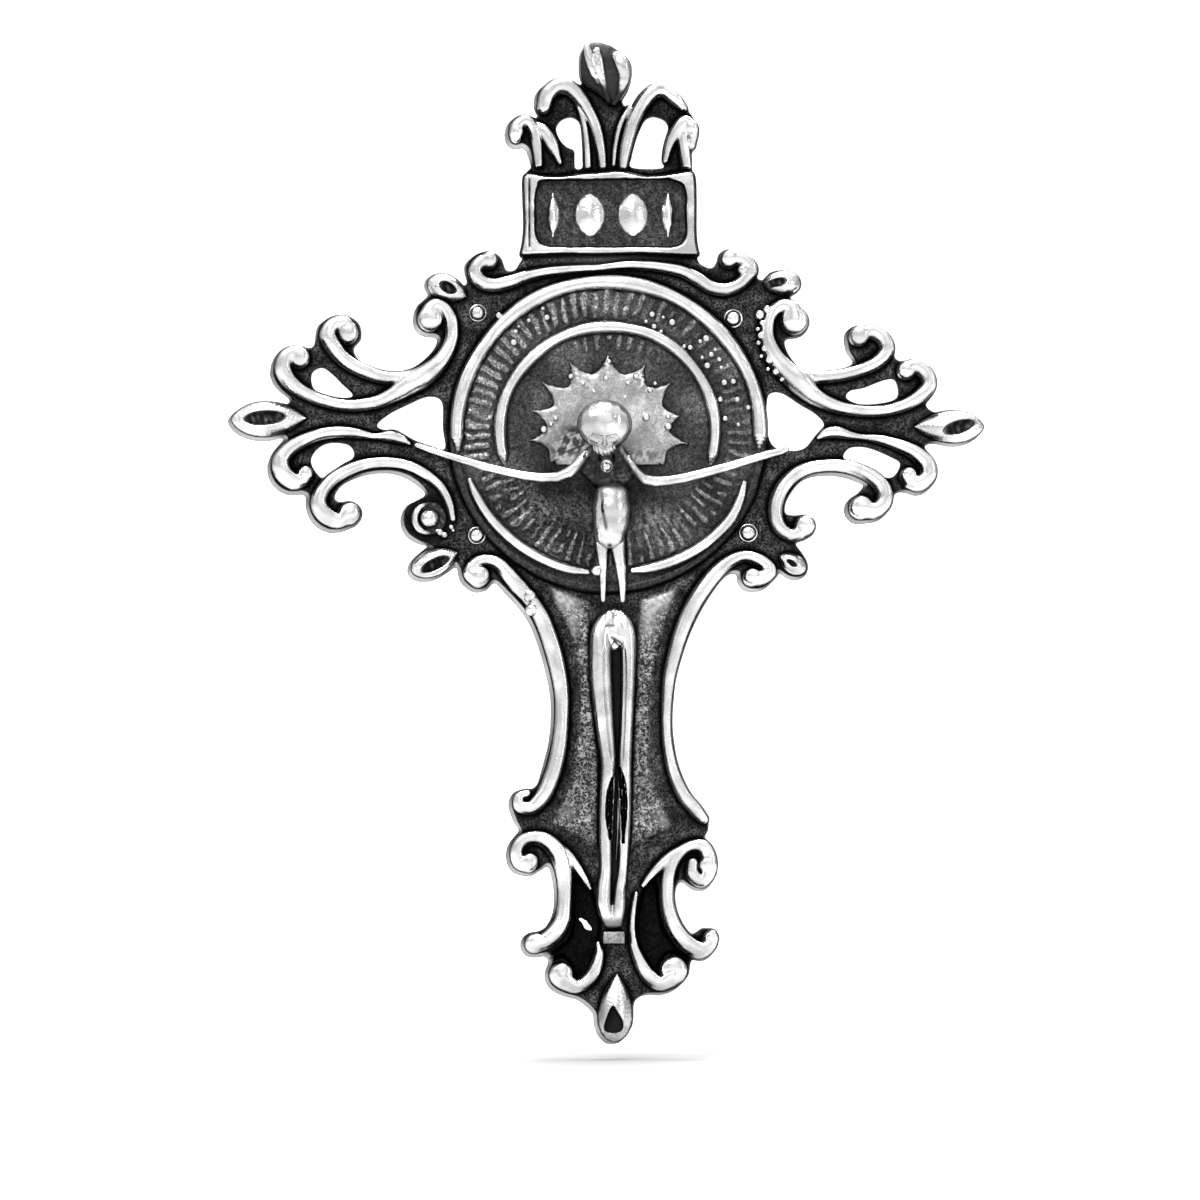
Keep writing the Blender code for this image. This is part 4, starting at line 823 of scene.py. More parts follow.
MOULDING = steel("moulding_steel", bright=0.96, dark=0.006, edge=(0.20, 0.52), rough=0.13,
                 cavity=0.28, streak=0.28)
LEAF_STEEL = steel("leaf_steel", bright=0.94, dark=0.006, edge=(0.20, 0.52), rough=0.14,
                   cavity=0.28, worn=True)
FLOOR = steel("floor_steel", bright=0.66, dark=0.004, edge=(0.50, 0.92), rough=0.40, cavity=0.60,
              grain=1.0, speck=0.90, streak=0.40, worn=True, bump=0.06, rimmed=True)
CHANNEL = steel("channel_steel", bright=0.72, dark=0.006, edge=(0.40, 0.88), rough=0.34,
                cavity=0.35, grain=1.0, speck=0.60, streak=0.3, worn=True, bump=0.06, rimmed=True)
SUN = steel("sunburst_steel", bright=0.80, dark=0.02, edge=(0.60, 0.93), rough=0.38, cavity=0.35,
            grain=0.8, speck=0.22, streak=0.30, bump=0.04, worn=True, rimmed=True)
REST_STEEL = steel("foot_rest_steel", bright=0.50, dark=0.02, edge=(0.50, 0.90), rough=0.40,
                   cavity=0.35, speck=0.3, streak=0.40, bump=0.05)
FIGURE = steel("figure_steel", bright=0.97, dark=0.006, edge=(0.22, 0.55), rough=0.12,
               cavity=0.30, worn=True)
HEAD_STEEL = steel("head_steel", bright=0.90, dark=0.008, edge=(0.12, 0.50), rough=0.12,
                   cavity=0.22)
BOARD_STEEL = steel("titulus_steel", bright=0.88, dark=0.006, edge=(0.30, 0.70), rough=0.16,
                    cavity=0.46, speck=0.7, worn=True, low_only=True)
BAIL_STEEL = steel("bail_steel", bright=0.72, dark=0.10, edge=(-1.0, -0.9), rough=0.20,
                   cavity=0.30, streak=0.2)
BUD_STEEL = steel("bud_steel", bright=0.90, dark=0.006, edge=(0.10, 0.40), rough=0.14,
                  cavity=0.30, streak=0.25, worn=True, rimmed=True, bump=0.06)

# ------------------------------------------------------------------ scroll mouldings
MOULDING_LINES = {name: [spline(points) for points in strands]
                  for name, strands in STRANDS.items()}
for number, (name, lines) in enumerate(MOULDING_LINES.items()):
    bulbs = BULBS.get(name, [])
    top = max(line[:, 2].max() for line in lines) * SCROLL_CROWN * 1.1 + 0.35
    grid = bar_grid(lines, bulbs, LAYER1, top, STEP)
    field = bar_field(grid, lines, bulbs, LAYER1, SCROLL_CROWN, number + 3, 0.10, power=2.3)
    lift, beads = SCROLL_BEADS.get(name, (0.0, []))
    add_beads(field, grid, beads, LAYER1 + lift, 0.03)
    mesh_piece(name, field, grid, MOULDING, lean_from=LAYER1 + 0.1)


# ------------------------------------------------------------------ almond leaves
def leaf_line(name, steps):
    u0, v0, u1, v1, wide, widest, _ = LEAVES[name]
    points = []
    for i in range(steps + 1):
        t = i / steps
        bend = t / widest * 0.5 if t < widest else 0.5 + (t - widest) / (1 - widest) * 0.5
        half = max(1.0, wide * math.sin(math.pi * bend) ** 0.85) * UNIT
        points.append((to_x(u0 + (u1 - u0) * t), to_z(v0 + (v1 - v0) * t), half))
    return np.array(points)


def leaf_field(name, ridge):
    """A solid leaf; ridge is the power of its section, 1 for a sharp ridge and 2 for round."""
    wide, _, crown = LEAVES[name][4:]
    line = leaf_line(name, 18)
    grid = bar_grid([line], [], LAYER1, wide * UNIT * crown + 0.3, 0.045)
    gap, half = beside(grid, line)
    height = grid.height(LAYER1)
    field = crowned(gap, half, np.maximum(height, 0) / crown, half, ridge)
    return grid, np.maximum(field, -height - 0.2)


def hollow_leaf(name):
    """A leaf with an oblong hollow in its crown."""
    grid, field = leaf_field(name, 1.5)
    wide, _, crown = LEAVES[name][4:]
    u0, v0, u1, v1, half, depth = HOLLOWS[name]
    middle_x, middle_z = to_x((u0 + u1) / 2), to_z((v0 + v1) / 2)
    across, up = to_x(u1) - to_x(u0), to_z(v1) - to_z(v0)
    length = math.hypot(across, up) / 2
    roll = -math.atan2(up, across)
    cos, sin = math.cos(roll), math.sin(roll)

    def turned(x, z):
        """Coordinates along and across the hollow."""
        x, z = x - middle_x, z - middle_z
        return cos * x - sin * z, sin * x + cos * z

    def wear(x, z, height):
        x_in, z_in = turned(x, z)
        q = np.hypot(x_in / (length * 0.92), z_in / (half * UNIT * 0.92))
        mottle = 0.10 * ripple(x, z, 0.5, 9) * (1 - ease(q, 0.8, 1.0))
        return np.clip(0.04 + 0.96 * ease(q, 0.80, 1.02) + mottle, 0.02, 1)

    x, y, z = grid.samples()
    x, z = turned(x, z)
    y = y + (LAYER1 + wide * UNIT * crown)
    hollow = ellipsoid((x, y, z), (0, 0, 0), (length, depth, half * UNIT))
    mesh_piece(name, smax(field, -hollow, 0.06), grid, LEAF_STEEL, wear=wear)


DROP_WELL = [(612.5, 1004), (618, 1011), (623.5, 1022), (621.5, 1030.5), (612, 1032.5),
             (603.5, 1029), (606, 1017)]


def foot_drop():
    """The drop at the very bottom, with a well in its lower end."""
    grid, field = leaf_field("foot_drop", 1.7)
    well = soften(outline(grid.X, grid.Z, DROP_WELL, 3), 1)[:, None, :]
    height = grid.height(LAYER1)
    well = np.maximum(well + 0.18 * np.clip(0.9 - height, 0, 1), 0.30 - height)

    def wear(x, z, height):
        inside = outline(x, z, DROP_WELL, 3) / UNIT
        u, v = sheet(x, z)
        # Painted shade: a dark strip down the drop's left flank.
        flank = 0.50 * np.exp(-((u - 600.5) / 5.5) ** 2) * between(v, 985, 1000, 1018, 1030)
        return np.clip(0.03 + 0.97 * ease(inside, -1.6, 0.6) - flank, 0.02, 1)

    mesh_piece("foot_drop", smax(field, -well, 0.05), grid, LEAF_STEEL, wear=wear)


for name in HOLLOWS:
    hollow_leaf(name)
foot_drop()

# ------------------------------------------------------------------ crest bud
BUD_EDGE = [
    (580.5, 80), (579.5, 65), (581, 53), (588, 45), (600, 43), (610, 45.5), (620, 52),
    (628, 59.5), (631.5, 68), (631, 80), (627, 91), (620, 101), (614, 106), (606, 101), (597, 94),
    (587, 88)]
# Two ridges on the left and a broad lobe on the right: (u, v, half width).
BUD_RIDGES = [
    [(587, 49, 3.8), (589.5, 59, 4.6), (593, 71, 4.4), (598, 84, 2.8)],
    [(596.5, 53, 4), (599, 65, 5.0), (601.8, 79, 4.0), (605.5, 92, 3.0), (608.5, 102, 1.8)],
    [(616, 57.5, 4.6), (622, 66, 7.2), (624.2, 77, 6.0), (622, 89, 4.2), (618.5, 98, 2.8),
     (614, 104.5, 1.8)]]


def crest_bud():
    """The bud at the very top: a shield with a dark valley between its ridges and its lobe."""
    grid = Grid((to_x(574), -(LAYER1 + 1.75), to_z(112)),
                (to_x(637), -LAYER1 + 0.35, to_z(37)), 0.045)
    plan = soften(outline(grid.X, grid.Z, BUD_EDGE, 4), 1)[:, None, :]
    height = grid.height(LAYER1)
    depth = np.clip(-plan / (13 * UNIT), 0, 1)
    field = smax(plan, height - 0.25 - 0.62 * np.sqrt(depth), 0.22)
    climb = (grid.Z[:, None, :] - to_z(104)) / (to_z(60) - to_z(104))
    rise = 0.60 + 0.28 * np.clip(climb, 0, 1)
    for points in BUD_RIDGES:
        gap, half = beside(grid, spline(points))
        ridge = crowned(gap, half, np.maximum(height - rise, 0), half * 1.15, 2.4)
        field = smin(field, ridge, 0.04)
    field = np.maximum(field, -height - 0.2) + 0.010 * grid.texture(0.6, 5)
    mesh_piece("crest_bud", field, grid, BUD_STEEL,
               wear=lambda x, z, h: np.clip(0.06 + 1.2 * ease(h - LAYER1, 0.92, 1.06), 0, 1.2),
               rim=lambda x, z, h: 0.55 * (1 - ease(h - LAYER1, 0.30, 0.50)))


crest_bud()

# ------------------------------------------------------------------ studs and boss
STUDS = {"stud_upper_left": (478, 313.5), "stud_upper_right": (733, 319),
         "stud_lower_left": (477, 535.5), "stud_lower_right": (748, 533)}
STUD_R = 8.0


def stud(name, u, v):
    """A dome in a thin collar."""
    radius = STUD_R * UNIT * (1.0 if "left" in name else 1.06)
    x, z, reach = to_x(u), to_z(v), radius + 0.5
    low = (x - radius - 0.5, -(LAYER1 + reach), z - radius - 0.5)
    grid = Grid(low, (x + radius + 0.5, -LAYER1 + 0.3, z + radius + 0.5), 0.035)
    gap = from_point(grid.X, grid.Z, u, v)[:, None, :]
    height = grid.height(LAYER1)
    dome = np.sqrt(gap ** 2 + (np.maximum(height - 0.12, 0) / 1.08) ** 2) - radius * 0.92
    beyond = np.maximum(gap - radius * 1.02, 0)
    collar = np.sqrt(beyond ** 2 + np.maximum(height - 0.05, 0) ** 2) - 0.05
    field = np.maximum(smin(dome, collar, 0.06), -height - 0.15)
    mesh_piece(name, field + 0.008 * grid.texture(0.7, len(name)), grid, MOULDING)


for name, (u, v) in STUDS.items():
    stud(name, u, v)

BOSS_U, BOSS_V, BOSS_R = 430, 518.5, 9.0
BOSS_BITS = ((440.5, 532.5, 3.2), (445, 535, 3.0), (437.5, 530.5, 1.8), (451.5, 527, 2.4),
             (453.5, 530.5, 1.8))


def arm_boss():
    """A ball on a disc on the left arm, with a lip that is highest on its left."""
    x, z = to_x(BOSS_U), to_z(BOSS_V)
    grid = Grid((x - 2.1, -(LAYER1 + 1.3), z - 2.1), (x + 2.1, -LAYER1 + 0.3, z + 2.1), 0.045)
    gap = from_point(grid.X, grid.Z, BOSS_U, BOSS_V)[:, None, :]
    height = grid.height(LAYER1)
    ball = np.sqrt(gap ** 2 + (np.maximum(height - 0.10, 0) / 1.1) ** 2) - (BOSS_R + 0.3) * UNIT
    angle = np.arctan2(grid.Z - z, grid.X - x)[:, None, :]
    lip = np.hypot(np.maximum(np.abs(gap - 1.02) - 0.02, 0), np.maximum(height, 0) / 1.5)
    lip = lip - 0.25 * np.clip(0.30 + 0.85 * np.cos(angle + 3.0), -0.2, 1.0)
    disc = np.maximum(gap - 1.16, height - 0.05 - 0.03 * grid.texture(0.4, 12))
    field = np.maximum(smin(smin(ball, lip, 0.05), disc, 0.05), -height - 0.15)
    add_beads(field, grid, BOSS_BITS, LAYER1 + 0.16, 0.03)

    def wear(x, z, height):
        height = height - LAYER1
        angle = np.arctan2(z - to_z(BOSS_V), x - to_x(BOSS_U))
        side = 0.5 + 0.5 * np.cos(angle + 3.0)
        grime = 0.06 + 0.10 * ease(ripple(x, z, 0.5, 17), 0.0, 1.0)
        around = grime + 0.95 * ease(height, 0.10, 0.24) * ease(side, 0.35, 0.75)
        on_ball = from_point(x, z, BOSS_U, BOSS_V) < 0.74
        tone = np.where(on_ball, ease(height, 0.12, 0.30), around)
        return np.clip(np.maximum(tone, bead_mask(x, z, BOSS_BITS, 1.05)), 0.03, 1)

    mesh_piece("arm_boss_left", field, grid, LEAF_STEEL, wear=wear)


arm_boss()

# ------------------------------------------------------------------ halo rings
LOWER_ARCS = {
    "halo_lower_arc_left": [
        (470, 480, 2.5), (476, 494, 4.5), (488, 514, 5.2), (506, 534, 5.6), (528, 551, 5.8),
        (551, 563, 5.6), (571, 569.5, 5), (588, 572, 3)],
    "halo_lower_arc_right": [
        (744, 483, 3), (740, 499, 5), (730, 519, 5.8), (713, 537, 6), (693, 551.5, 6),
        (668, 563, 5.6), (646, 568.5, 5), (632, 570.5, 3)],
}


def arc(radius, half, start, end, seed):
    """A slightly wandering arc about the halo's centre, with tapered ends."""
    steps, taper, wander = 120, 3, 0.7
    phase = np.random.RandomState(seed).uniform(0, 6.28, 4)
    points = []
    for i in range(steps + 1):
        angle = math.radians(start + (end - start) * (i / steps))
        reach = (radius + wander * math.sin(3.1 * angle + phase[0])
                 + wander * 0.5 * math.sin(7.3 * angle + phase[1]))
        width = (half * (1 + 0.08 * math.sin(9.1 * angle + phase[2]))
                 * (0.35 + 0.65 * min(1.0, i / taper, (steps - i) / taper)))
        points.append((to_x(HALO_U + reach * math.cos(angle)),
                       to_z(HALO_V - reach * math.sin(angle)), width * UNIT))
    return np.array(points)


def ring(name, line, crown, base, beads=(), nick=None):
    """A ring's bar. nick: (u, v, radius) of a dent in its crown."""
    grid = bar_grid([line], [], base, line[:, 2].max() * crown + 0.25, STEP)
    field = bar_field(grid, [line], [], base, crown, len(name), 0.05, power=2.3)
    add_beads(field, grid, beads, base + 0.35, 0.03)
    if nick:
        u, v, radius = nick
        x, z = (grid.X - to_x(u)) / 0.7, (grid.Z - to_z(v)) / 1.5
        dent = np.sqrt(x ** 2 + z ** 2)[:, None, :] - radius * UNIT
        field = smax(field, -np.maximum(dent, base + 0.12 + grid.y[None, :, None]), 0.05)
    mesh_piece(name, field, grid, MOULDING)


ring("halo_outer_ring", arc(radius=151.5, half=7.4, start=-5.0, end=186.0, seed=5),
     crown=1.35, base=LAYER2 - 0.30, beads=[(499, 316, 3.2), (663, 291, 2.4), (706, 320, 2.2)])
ring("halo_inner_ring", arc(radius=107.5, half=6.3, start=-16.0, end=196.0, seed=8),
     crown=1.35, base=LAYER2 - 0.32, nick=(604.5, 321, 1.8))
for name, points in LOWER_ARCS.items():
    ring(name, spline(points), crown=1.45, base=LAYER2 - 0.30)

# ------------------------------------------------------------------ medallion disc
DISC_BEADS = [
    (652, 315, 3.0), (654, 327, 2.6), (672, 323, 3.4), (646, 322, 2.0), (706, 339, 3.6),
    (700, 342, 2.2), (711, 355, 2.8), (707, 366, 3.2), (724, 383, 3.0), (733, 382, 2.8),
    (725, 419, 2.8), (514, 343, 3.4), (516, 332, 2.2), (547, 318, 3.0), (543, 309, 2.0),
    (529, 321, 2.2), (737, 400, 2.6), (720, 400, 2.6), (719, 360, 2.4), (715, 350, 2.0),
    (690, 348, 2.6), (684, 347, 2.0), (692, 362, 2.2), (721, 368, 2.0), (748, 408, 2.4),
    (714, 418, 2.0), (702, 358, 1.8), (738, 425, 2.0), (596, 308, 1.8), (519, 327, 1.6),
    (661, 332, 2.0), (663, 318, 1.8)]


def disc_top(grid):
    """Heights of the disc: flange, ribbed channel, ribbed inner field and ribbed lower bowl."""
    X, Z = grid.X, grid.Z
    _, up, radius, angle = halo_polar(X, Z)
    upper = ease(up, -42, -26)
    sway, wobble = ripple(X, Z, 3.0, 11), ripple(X, Z, 1.5, 12)
    turn = np.radians(angle)
    ribs = 0.5 + 0.5 * np.cos(turn * 76 + 0.6 * sway + 0.55 * wobble + 0.04 * radius)
    inner_ribs = 0.5 + 0.5 * np.cos(turn * 52 + 0.6 * sway + 0.5 * wobble)
    rib_number = np.floor((angle * 76 / 360) + 0.5)
    vary = 0.5 + 0.5 * np.sin(rib_number * 2.39 + 0.7 * np.sin(rib_number * 1.3))
    channel = between(radius, 113 + 5 * vary, 119 + 5 * vary,
                      139 + 4 * vary, 145 + 4 * vary) * upper
    inner = between(radius, 82, 88, 97, 103) * upper
    bowl = between(radius, 98, 106, 130, 138) * (1 - upper)
    broken = ease(ripple(X, Z, 1.6, 31), -1.25, -0.2)
    angle = np.where(angle < -90, angle + 360, angle)
    # The channel's ribs are strongest at the left and near the top.
    left = np.exp(-((angle - 168) / 34) ** 2)
    crown = np.exp(-((angle - 98) / 20) ** 2)
    sector = np.clip(0.42 + 0.58 * left + 0.50 * crown, 0, 1)
    rough = ripple(X, Z, 0.55, 21) * 0.6 + ripple(X, Z, 0.25, 22) * 0.4
    top = (LAYER2 - 0.30
           + 0.25 * channel * ribs * (0.45 + 0.55 * broken) * (0.55 + 0.45 * vary) * sector
           + 0.13 * inner * inner_ribs ** 1.3 * broken
           * (0.35 + 0.65 * np.exp(-((angle - 88) / 22) ** 2))
           + 0.22 * bowl * ribs ** 1.2 * broken * (0.5 + 0.5 * vary)
           - 0.12 * (1 - upper) * (1 - ease(radius, 60, 135))
           + 0.020 * rough)
    top = top + ease(radius, 149, 153) * (0.10 - 0.30 * ease(radius, 156, 163))
    return top, (radius - DISC_R - 1.2 * sway) * UNIT


def disc_wear_and_highlights(x, z, height):
    right, up, radius, _ = halo_polar(x, z)
    height = height - (LAYER2 - 0.30)
    patch = ease(ripple(x, z, 4.2, 41), -0.4, 0.9)
    tone = (0.17 + 0.95 * ease(height, 0.035, 0.13)
            + 0.26 * patch * (1 - ease(radius, 140, 150)))
    # Painted highlights: two bright spots in the lower bowl.
    lit = spots(right, -up, ((50, 88, 22, 14, 1), (-62, 78, 26, 12, 0.7)))
    low = ease(-up, 34, 44)
    vein = np.abs(ripple(x, z, 0.9, 43) + 0.4 * ripple(x, z, 0.35, 44))
    crack = (low * between(radius, 48, 62, 128, 136) * (1 - ease(vein, 0.05, 0.28))
             * ease(-right, -10, 30))
    tone = (tone * (1 - 0.30 * low) + 0.62 * lit * ease(ripple(x, z, 0.7, 45), -1.0, 0.2)
            - 0.55 * crack
            + 0.55 * ease(height, 0.05, 0.14) * ease(-right, 40, 110) * ease(up, -40, 0))
    tone = tone * (1 - 0.75 * ease(radius, 149, 154)) * (0.45 + 0.55 * ease(radius, 60, 84))
    return np.clip(tone, 0.05, 1.3)


def medallion_disc():
    half = 163 * UNIT
    x, z = to_x(HALO_U), to_z(HALO_V)
    grid = Grid((x - half - 0.1, -(LAYER2 + 0.32), z - half - 0.1),
                (x + half + 0.1, -LAYER1 + 0.25, z + half + 0.1), 0.06)
    top, edge = disc_top(grid)
    height = grid.height()
    field = slab(edge[:, None, :] - 0.10 * (LAYER2 - height), height - top[:, None, :], 0.12)
    field = np.maximum(field, LAYER1 - 0.15 - height)
    add_beads(field, grid, DISC_BEADS, LAYER2 - 0.02, 0.02)
    mesh_piece("medallion_disc", field, grid, CHANNEL, slot="oxidised_steel", turns=1,
               wear=disc_wear_and_highlights, rim=lambda x, z, h: 0.95 * bead_mask(x, z, DISC_BEADS))


medallion_disc()

# ------------------------------------------------------------------ sunburst
# Ray tips: angle in degrees from the right, radius.
RAY_TIPS = [(-30, 64), (-7, 83.5), (14, 75), (39, 83), (61.7, 79.5), (90, 80), (118, 85),
            (142, 87.5), (163, 81), (185, 81.5), (207, 64)]
SUN_BEADS = [
    (571, 377, 2.6), (636, 377, 2.8), (650, 391, 2.4), (646, 418, 3.6), (609, 362, 2.2),
    (544, 430, 3.4), (583, 384, 2.0), (668, 427, 3.6), (628, 384, 2.0), (606, 379, 2.6),
    (594, 392, 1.8), (655, 384, 1.8), (551, 425, 1.8), (625, 398, 1.6), (668, 417, 2.4),
    (556, 419, 2.2)]
# Darker spots around the head and shoulders, then painted highlights: (u, v, half width, half
# height, gain).
SUN_DARK_SPOTS = ((577, 440, 17, 15, -1.15), (560, 452, 12, 9, -0.6), (644, 456, 18, 7, -0.6),
             (575, 400, 14, 10, -0.15))
SUN_HIGHLIGHTS = ((608, 372, 4, 24, 1.3), (645, 393, 9, 14, 1.1), (571, 377, 14, 8, 0.8),
             (632, 380, 16, 10, 0.9), (586, 376, 12, 7, 0.7), (655, 405, 7, 12, 0.6),
             (668, 415, 8, 8, 0.7))


# Random tone, darker in the dark spots around the head and shoulders.
def sun_tone(x, z, height):
    blotch = ease(ripple(x, z, 0.8, 56) + 0.6 * ripple(x, z, 0.35, 57), -0.8, 0.5)
    tone = 0.86 + 0.12 * ripple(x, z, 2.4, 53) + blotch * spots(*sheet(x, z), SUN_DARK_SPOTS)
    return np.clip(tone, 0.1, 1.1)


# Painted highlights: bright flecks near the ray tips and in the highlight spots; the beads are
# polished.
def sun_polish_and_highlights(x, z, height):
    u, v = sheet(x, z)
    flecks = ease(ripple(x, z, 0.42, 54) + 0.6 * ripple(x, z, 0.9, 55), -0.05, 0.40)
    zone = 0.8 * between(np.hypot(u - HALO_U, v - HALO_V), 58, 68, 78, 84)
    for row in SUN_HIGHLIGHTS:
        zone = zone * 0.92 + spots(u, v, [row])
    return np.maximum(np.clip(flecks * zone, 0, 1) * 0.95, 0.95 * bead_mask(x, z, SUN_BEADS))


def sunburst():
    """The half star behind the head: nine uneven rays, and a faint upright crease."""
    grid = Grid((to_x(520), -(LAYER2 + 0.42), to_z(470)),
                (to_x(697), -(LAYER2 - 0.55), to_z(347)), 0.045)
    right, up, radius, angle = halo_polar(grid.X, grid.Z)
    angle = np.where(angle < -100, angle + 360, angle)
    rim = np.full(radius.shape, 60.0)
    for (a0, r0), (a1, r1) in zip(RAY_TIPS, RAY_TIPS[1:]):
        t = np.clip((angle - a0) / (a1 - a0), 0, 1)
        dip = np.maximum(np.sin(np.pi * t), 0) ** 0.62
        scallop = (r0 + (r1 - r0) * t) * (1 - dip) + 61.5 * dip
        rim = np.where((angle >= a0) & (angle <= a1), scallop, rim)
    edge = (radius - rim) * UNIT * 0.8
    worn = ripple(grid.X, grid.Z, 0.5, 51) * 0.5 + ripple(grid.X, grid.Z, 1.3, 52) * 0.5
    crease = np.exp(-(right + 1.5) ** 2 / 7.0) * ease(up, 20, 34)
    top = (LAYER2 - 0.06 + 0.10 * ease(-edge / UNIT, 0, 5) - 0.06 * ease(radius, 40, 62)
           + 0.022 * worn + 0.09 * crease)
    height = grid.height()
    field = slab(edge[:, None, :], height - top[:, None, :], 0.08)
    field = np.maximum(np.maximum(field, LAYER2 - 0.5 - height), (-up[:, None, :] - 31) * UNIT)
    add_beads(field, grid, SUN_BEADS, LAYER2 + 0.02, 0.02)
    mesh_piece("sunburst", field, grid, SUN, slot="figure_steel", wear=sun_tone, rim=sun_polish_and_highlights)


sunburst()

# ------------------------------------------------------------------ the pierced plate
# Brighter spots of the raised fields, for wear and rim: (u, v, half width, half height, gain).
FIELD_WEAR = ((560, 600, 20, 12, 0.9), (664, 600, 20, 14, 0.9), (652, 640, 8, 34, 0.4),
              (560, 812, 16, 12, 0.35), (660, 812, 20, 16, 0.5))
FIELD_GLOW = ((563, 598, 17, 13, 0.95), (573, 622, 7, 16, 0.60), (660, 598, 18, 14, 1.0),
              (648, 622, 9, 20, 0.70), (563, 812, 14, 10, 0.36), (668, 818, 16, 12, 0.50),
              (655, 770, 10, 16, 0.30))
# Scratches on the stem: u and v of both ends, width, strength.
PLATE_SCRATCHES = ((569, 648, 587, 644, 2.0, 0.55), (587, 644, 595, 619, 1.8, 0.5),
                   (556, 825, 581, 838, 1.7, 0.75), (650, 838, 671, 827, 1.7, 0.75))


def reliefs(X, Z):
    """Distance from the edges of everything that stands on the plate."""
    bars = np.full(X.shape, 9.0, np.float32)
    lines = [line for group in MOULDING_LINES.values() for line in group]
    for line in lines + [leaf_line(name, 14) for name in LEAVES]:
        gap, half = along(X, Z, line)
        bars = np.minimum(bars, gap - half)
    for bulbs in BULBS.values():
        for u, v, radius in bulbs:
            bars = np.minimum(bars, from_point(X, Z, u, v) - radius * UNIT)
    for edge in (BUD_EDGE, BOARD_EDGE):
        bars = np.minimum(bars, outline(X, Z, edge, 3))
    for u, v, radius in ((HALO_U, HALO_V, DISC_R), (430, 520, 22)):
        bars = np.minimum(bars, (from_point(X, Z, u, v) / UNIT - radius) * UNIT)
    return bars


def plate_shape(X, Z, outer, bars):
    """The plate's plan: its outline joined to what stands on it, less the openings."""
    plan = soften(outer, 1)
    # Behind the bud the plate is cut back, so only the bud's own edge shows.
    plan = smax(plan, np.minimum(outline(X, Z, BUD_EDGE, 3), Z - to_z(72)), 0.05)
    for opening in PLATE_OPENINGS:
        plan = smax(plan, -outline(X, Z, opening, 4), 0.10)
    plan = smin(plan, bars - 0.03, 0.12)
    slot = to_lines(X, Z, [[(to_x(u), to_z(v), half * UNIT) for u, v, half in SLOT_LINE]])
    return smax(plan, -(slot + 0.03 * ripple(X, Z, 0.5, 77)), 0.05)


def plate_draft(X, Z, shape, outer_edge, step):
    """How far the outer sides spread towards the back, most of all below and on the left."""
    slope_x, slope_z = np.gradient(soften(shape, 4), step)
    norm = np.maximum(np.hypot(slope_x, slope_z), 1e-3)
    draft = (0.08 + 0.34 * np.clip(-(0.72 * slope_x + 0.70 * slope_z) / norm, 0, 1)
             + 0.05 * np.clip(slope_x / norm, 0, 1))
    draft = np.where(outer_edge > -0.45, draft, 0.05)
    upright = (between(Z, to_z(266), to_z(258), to_z(170), to_z(162))
               * (1 - ease(np.abs(X - to_x(609)), 98 * UNIT, 106 * UNIT)))
    draft = draft * (1 - 0.80 * upright) * (1 - 0.75 * ease(Z, to_z(96), to_z(84)))
    return soften(draft, 3)


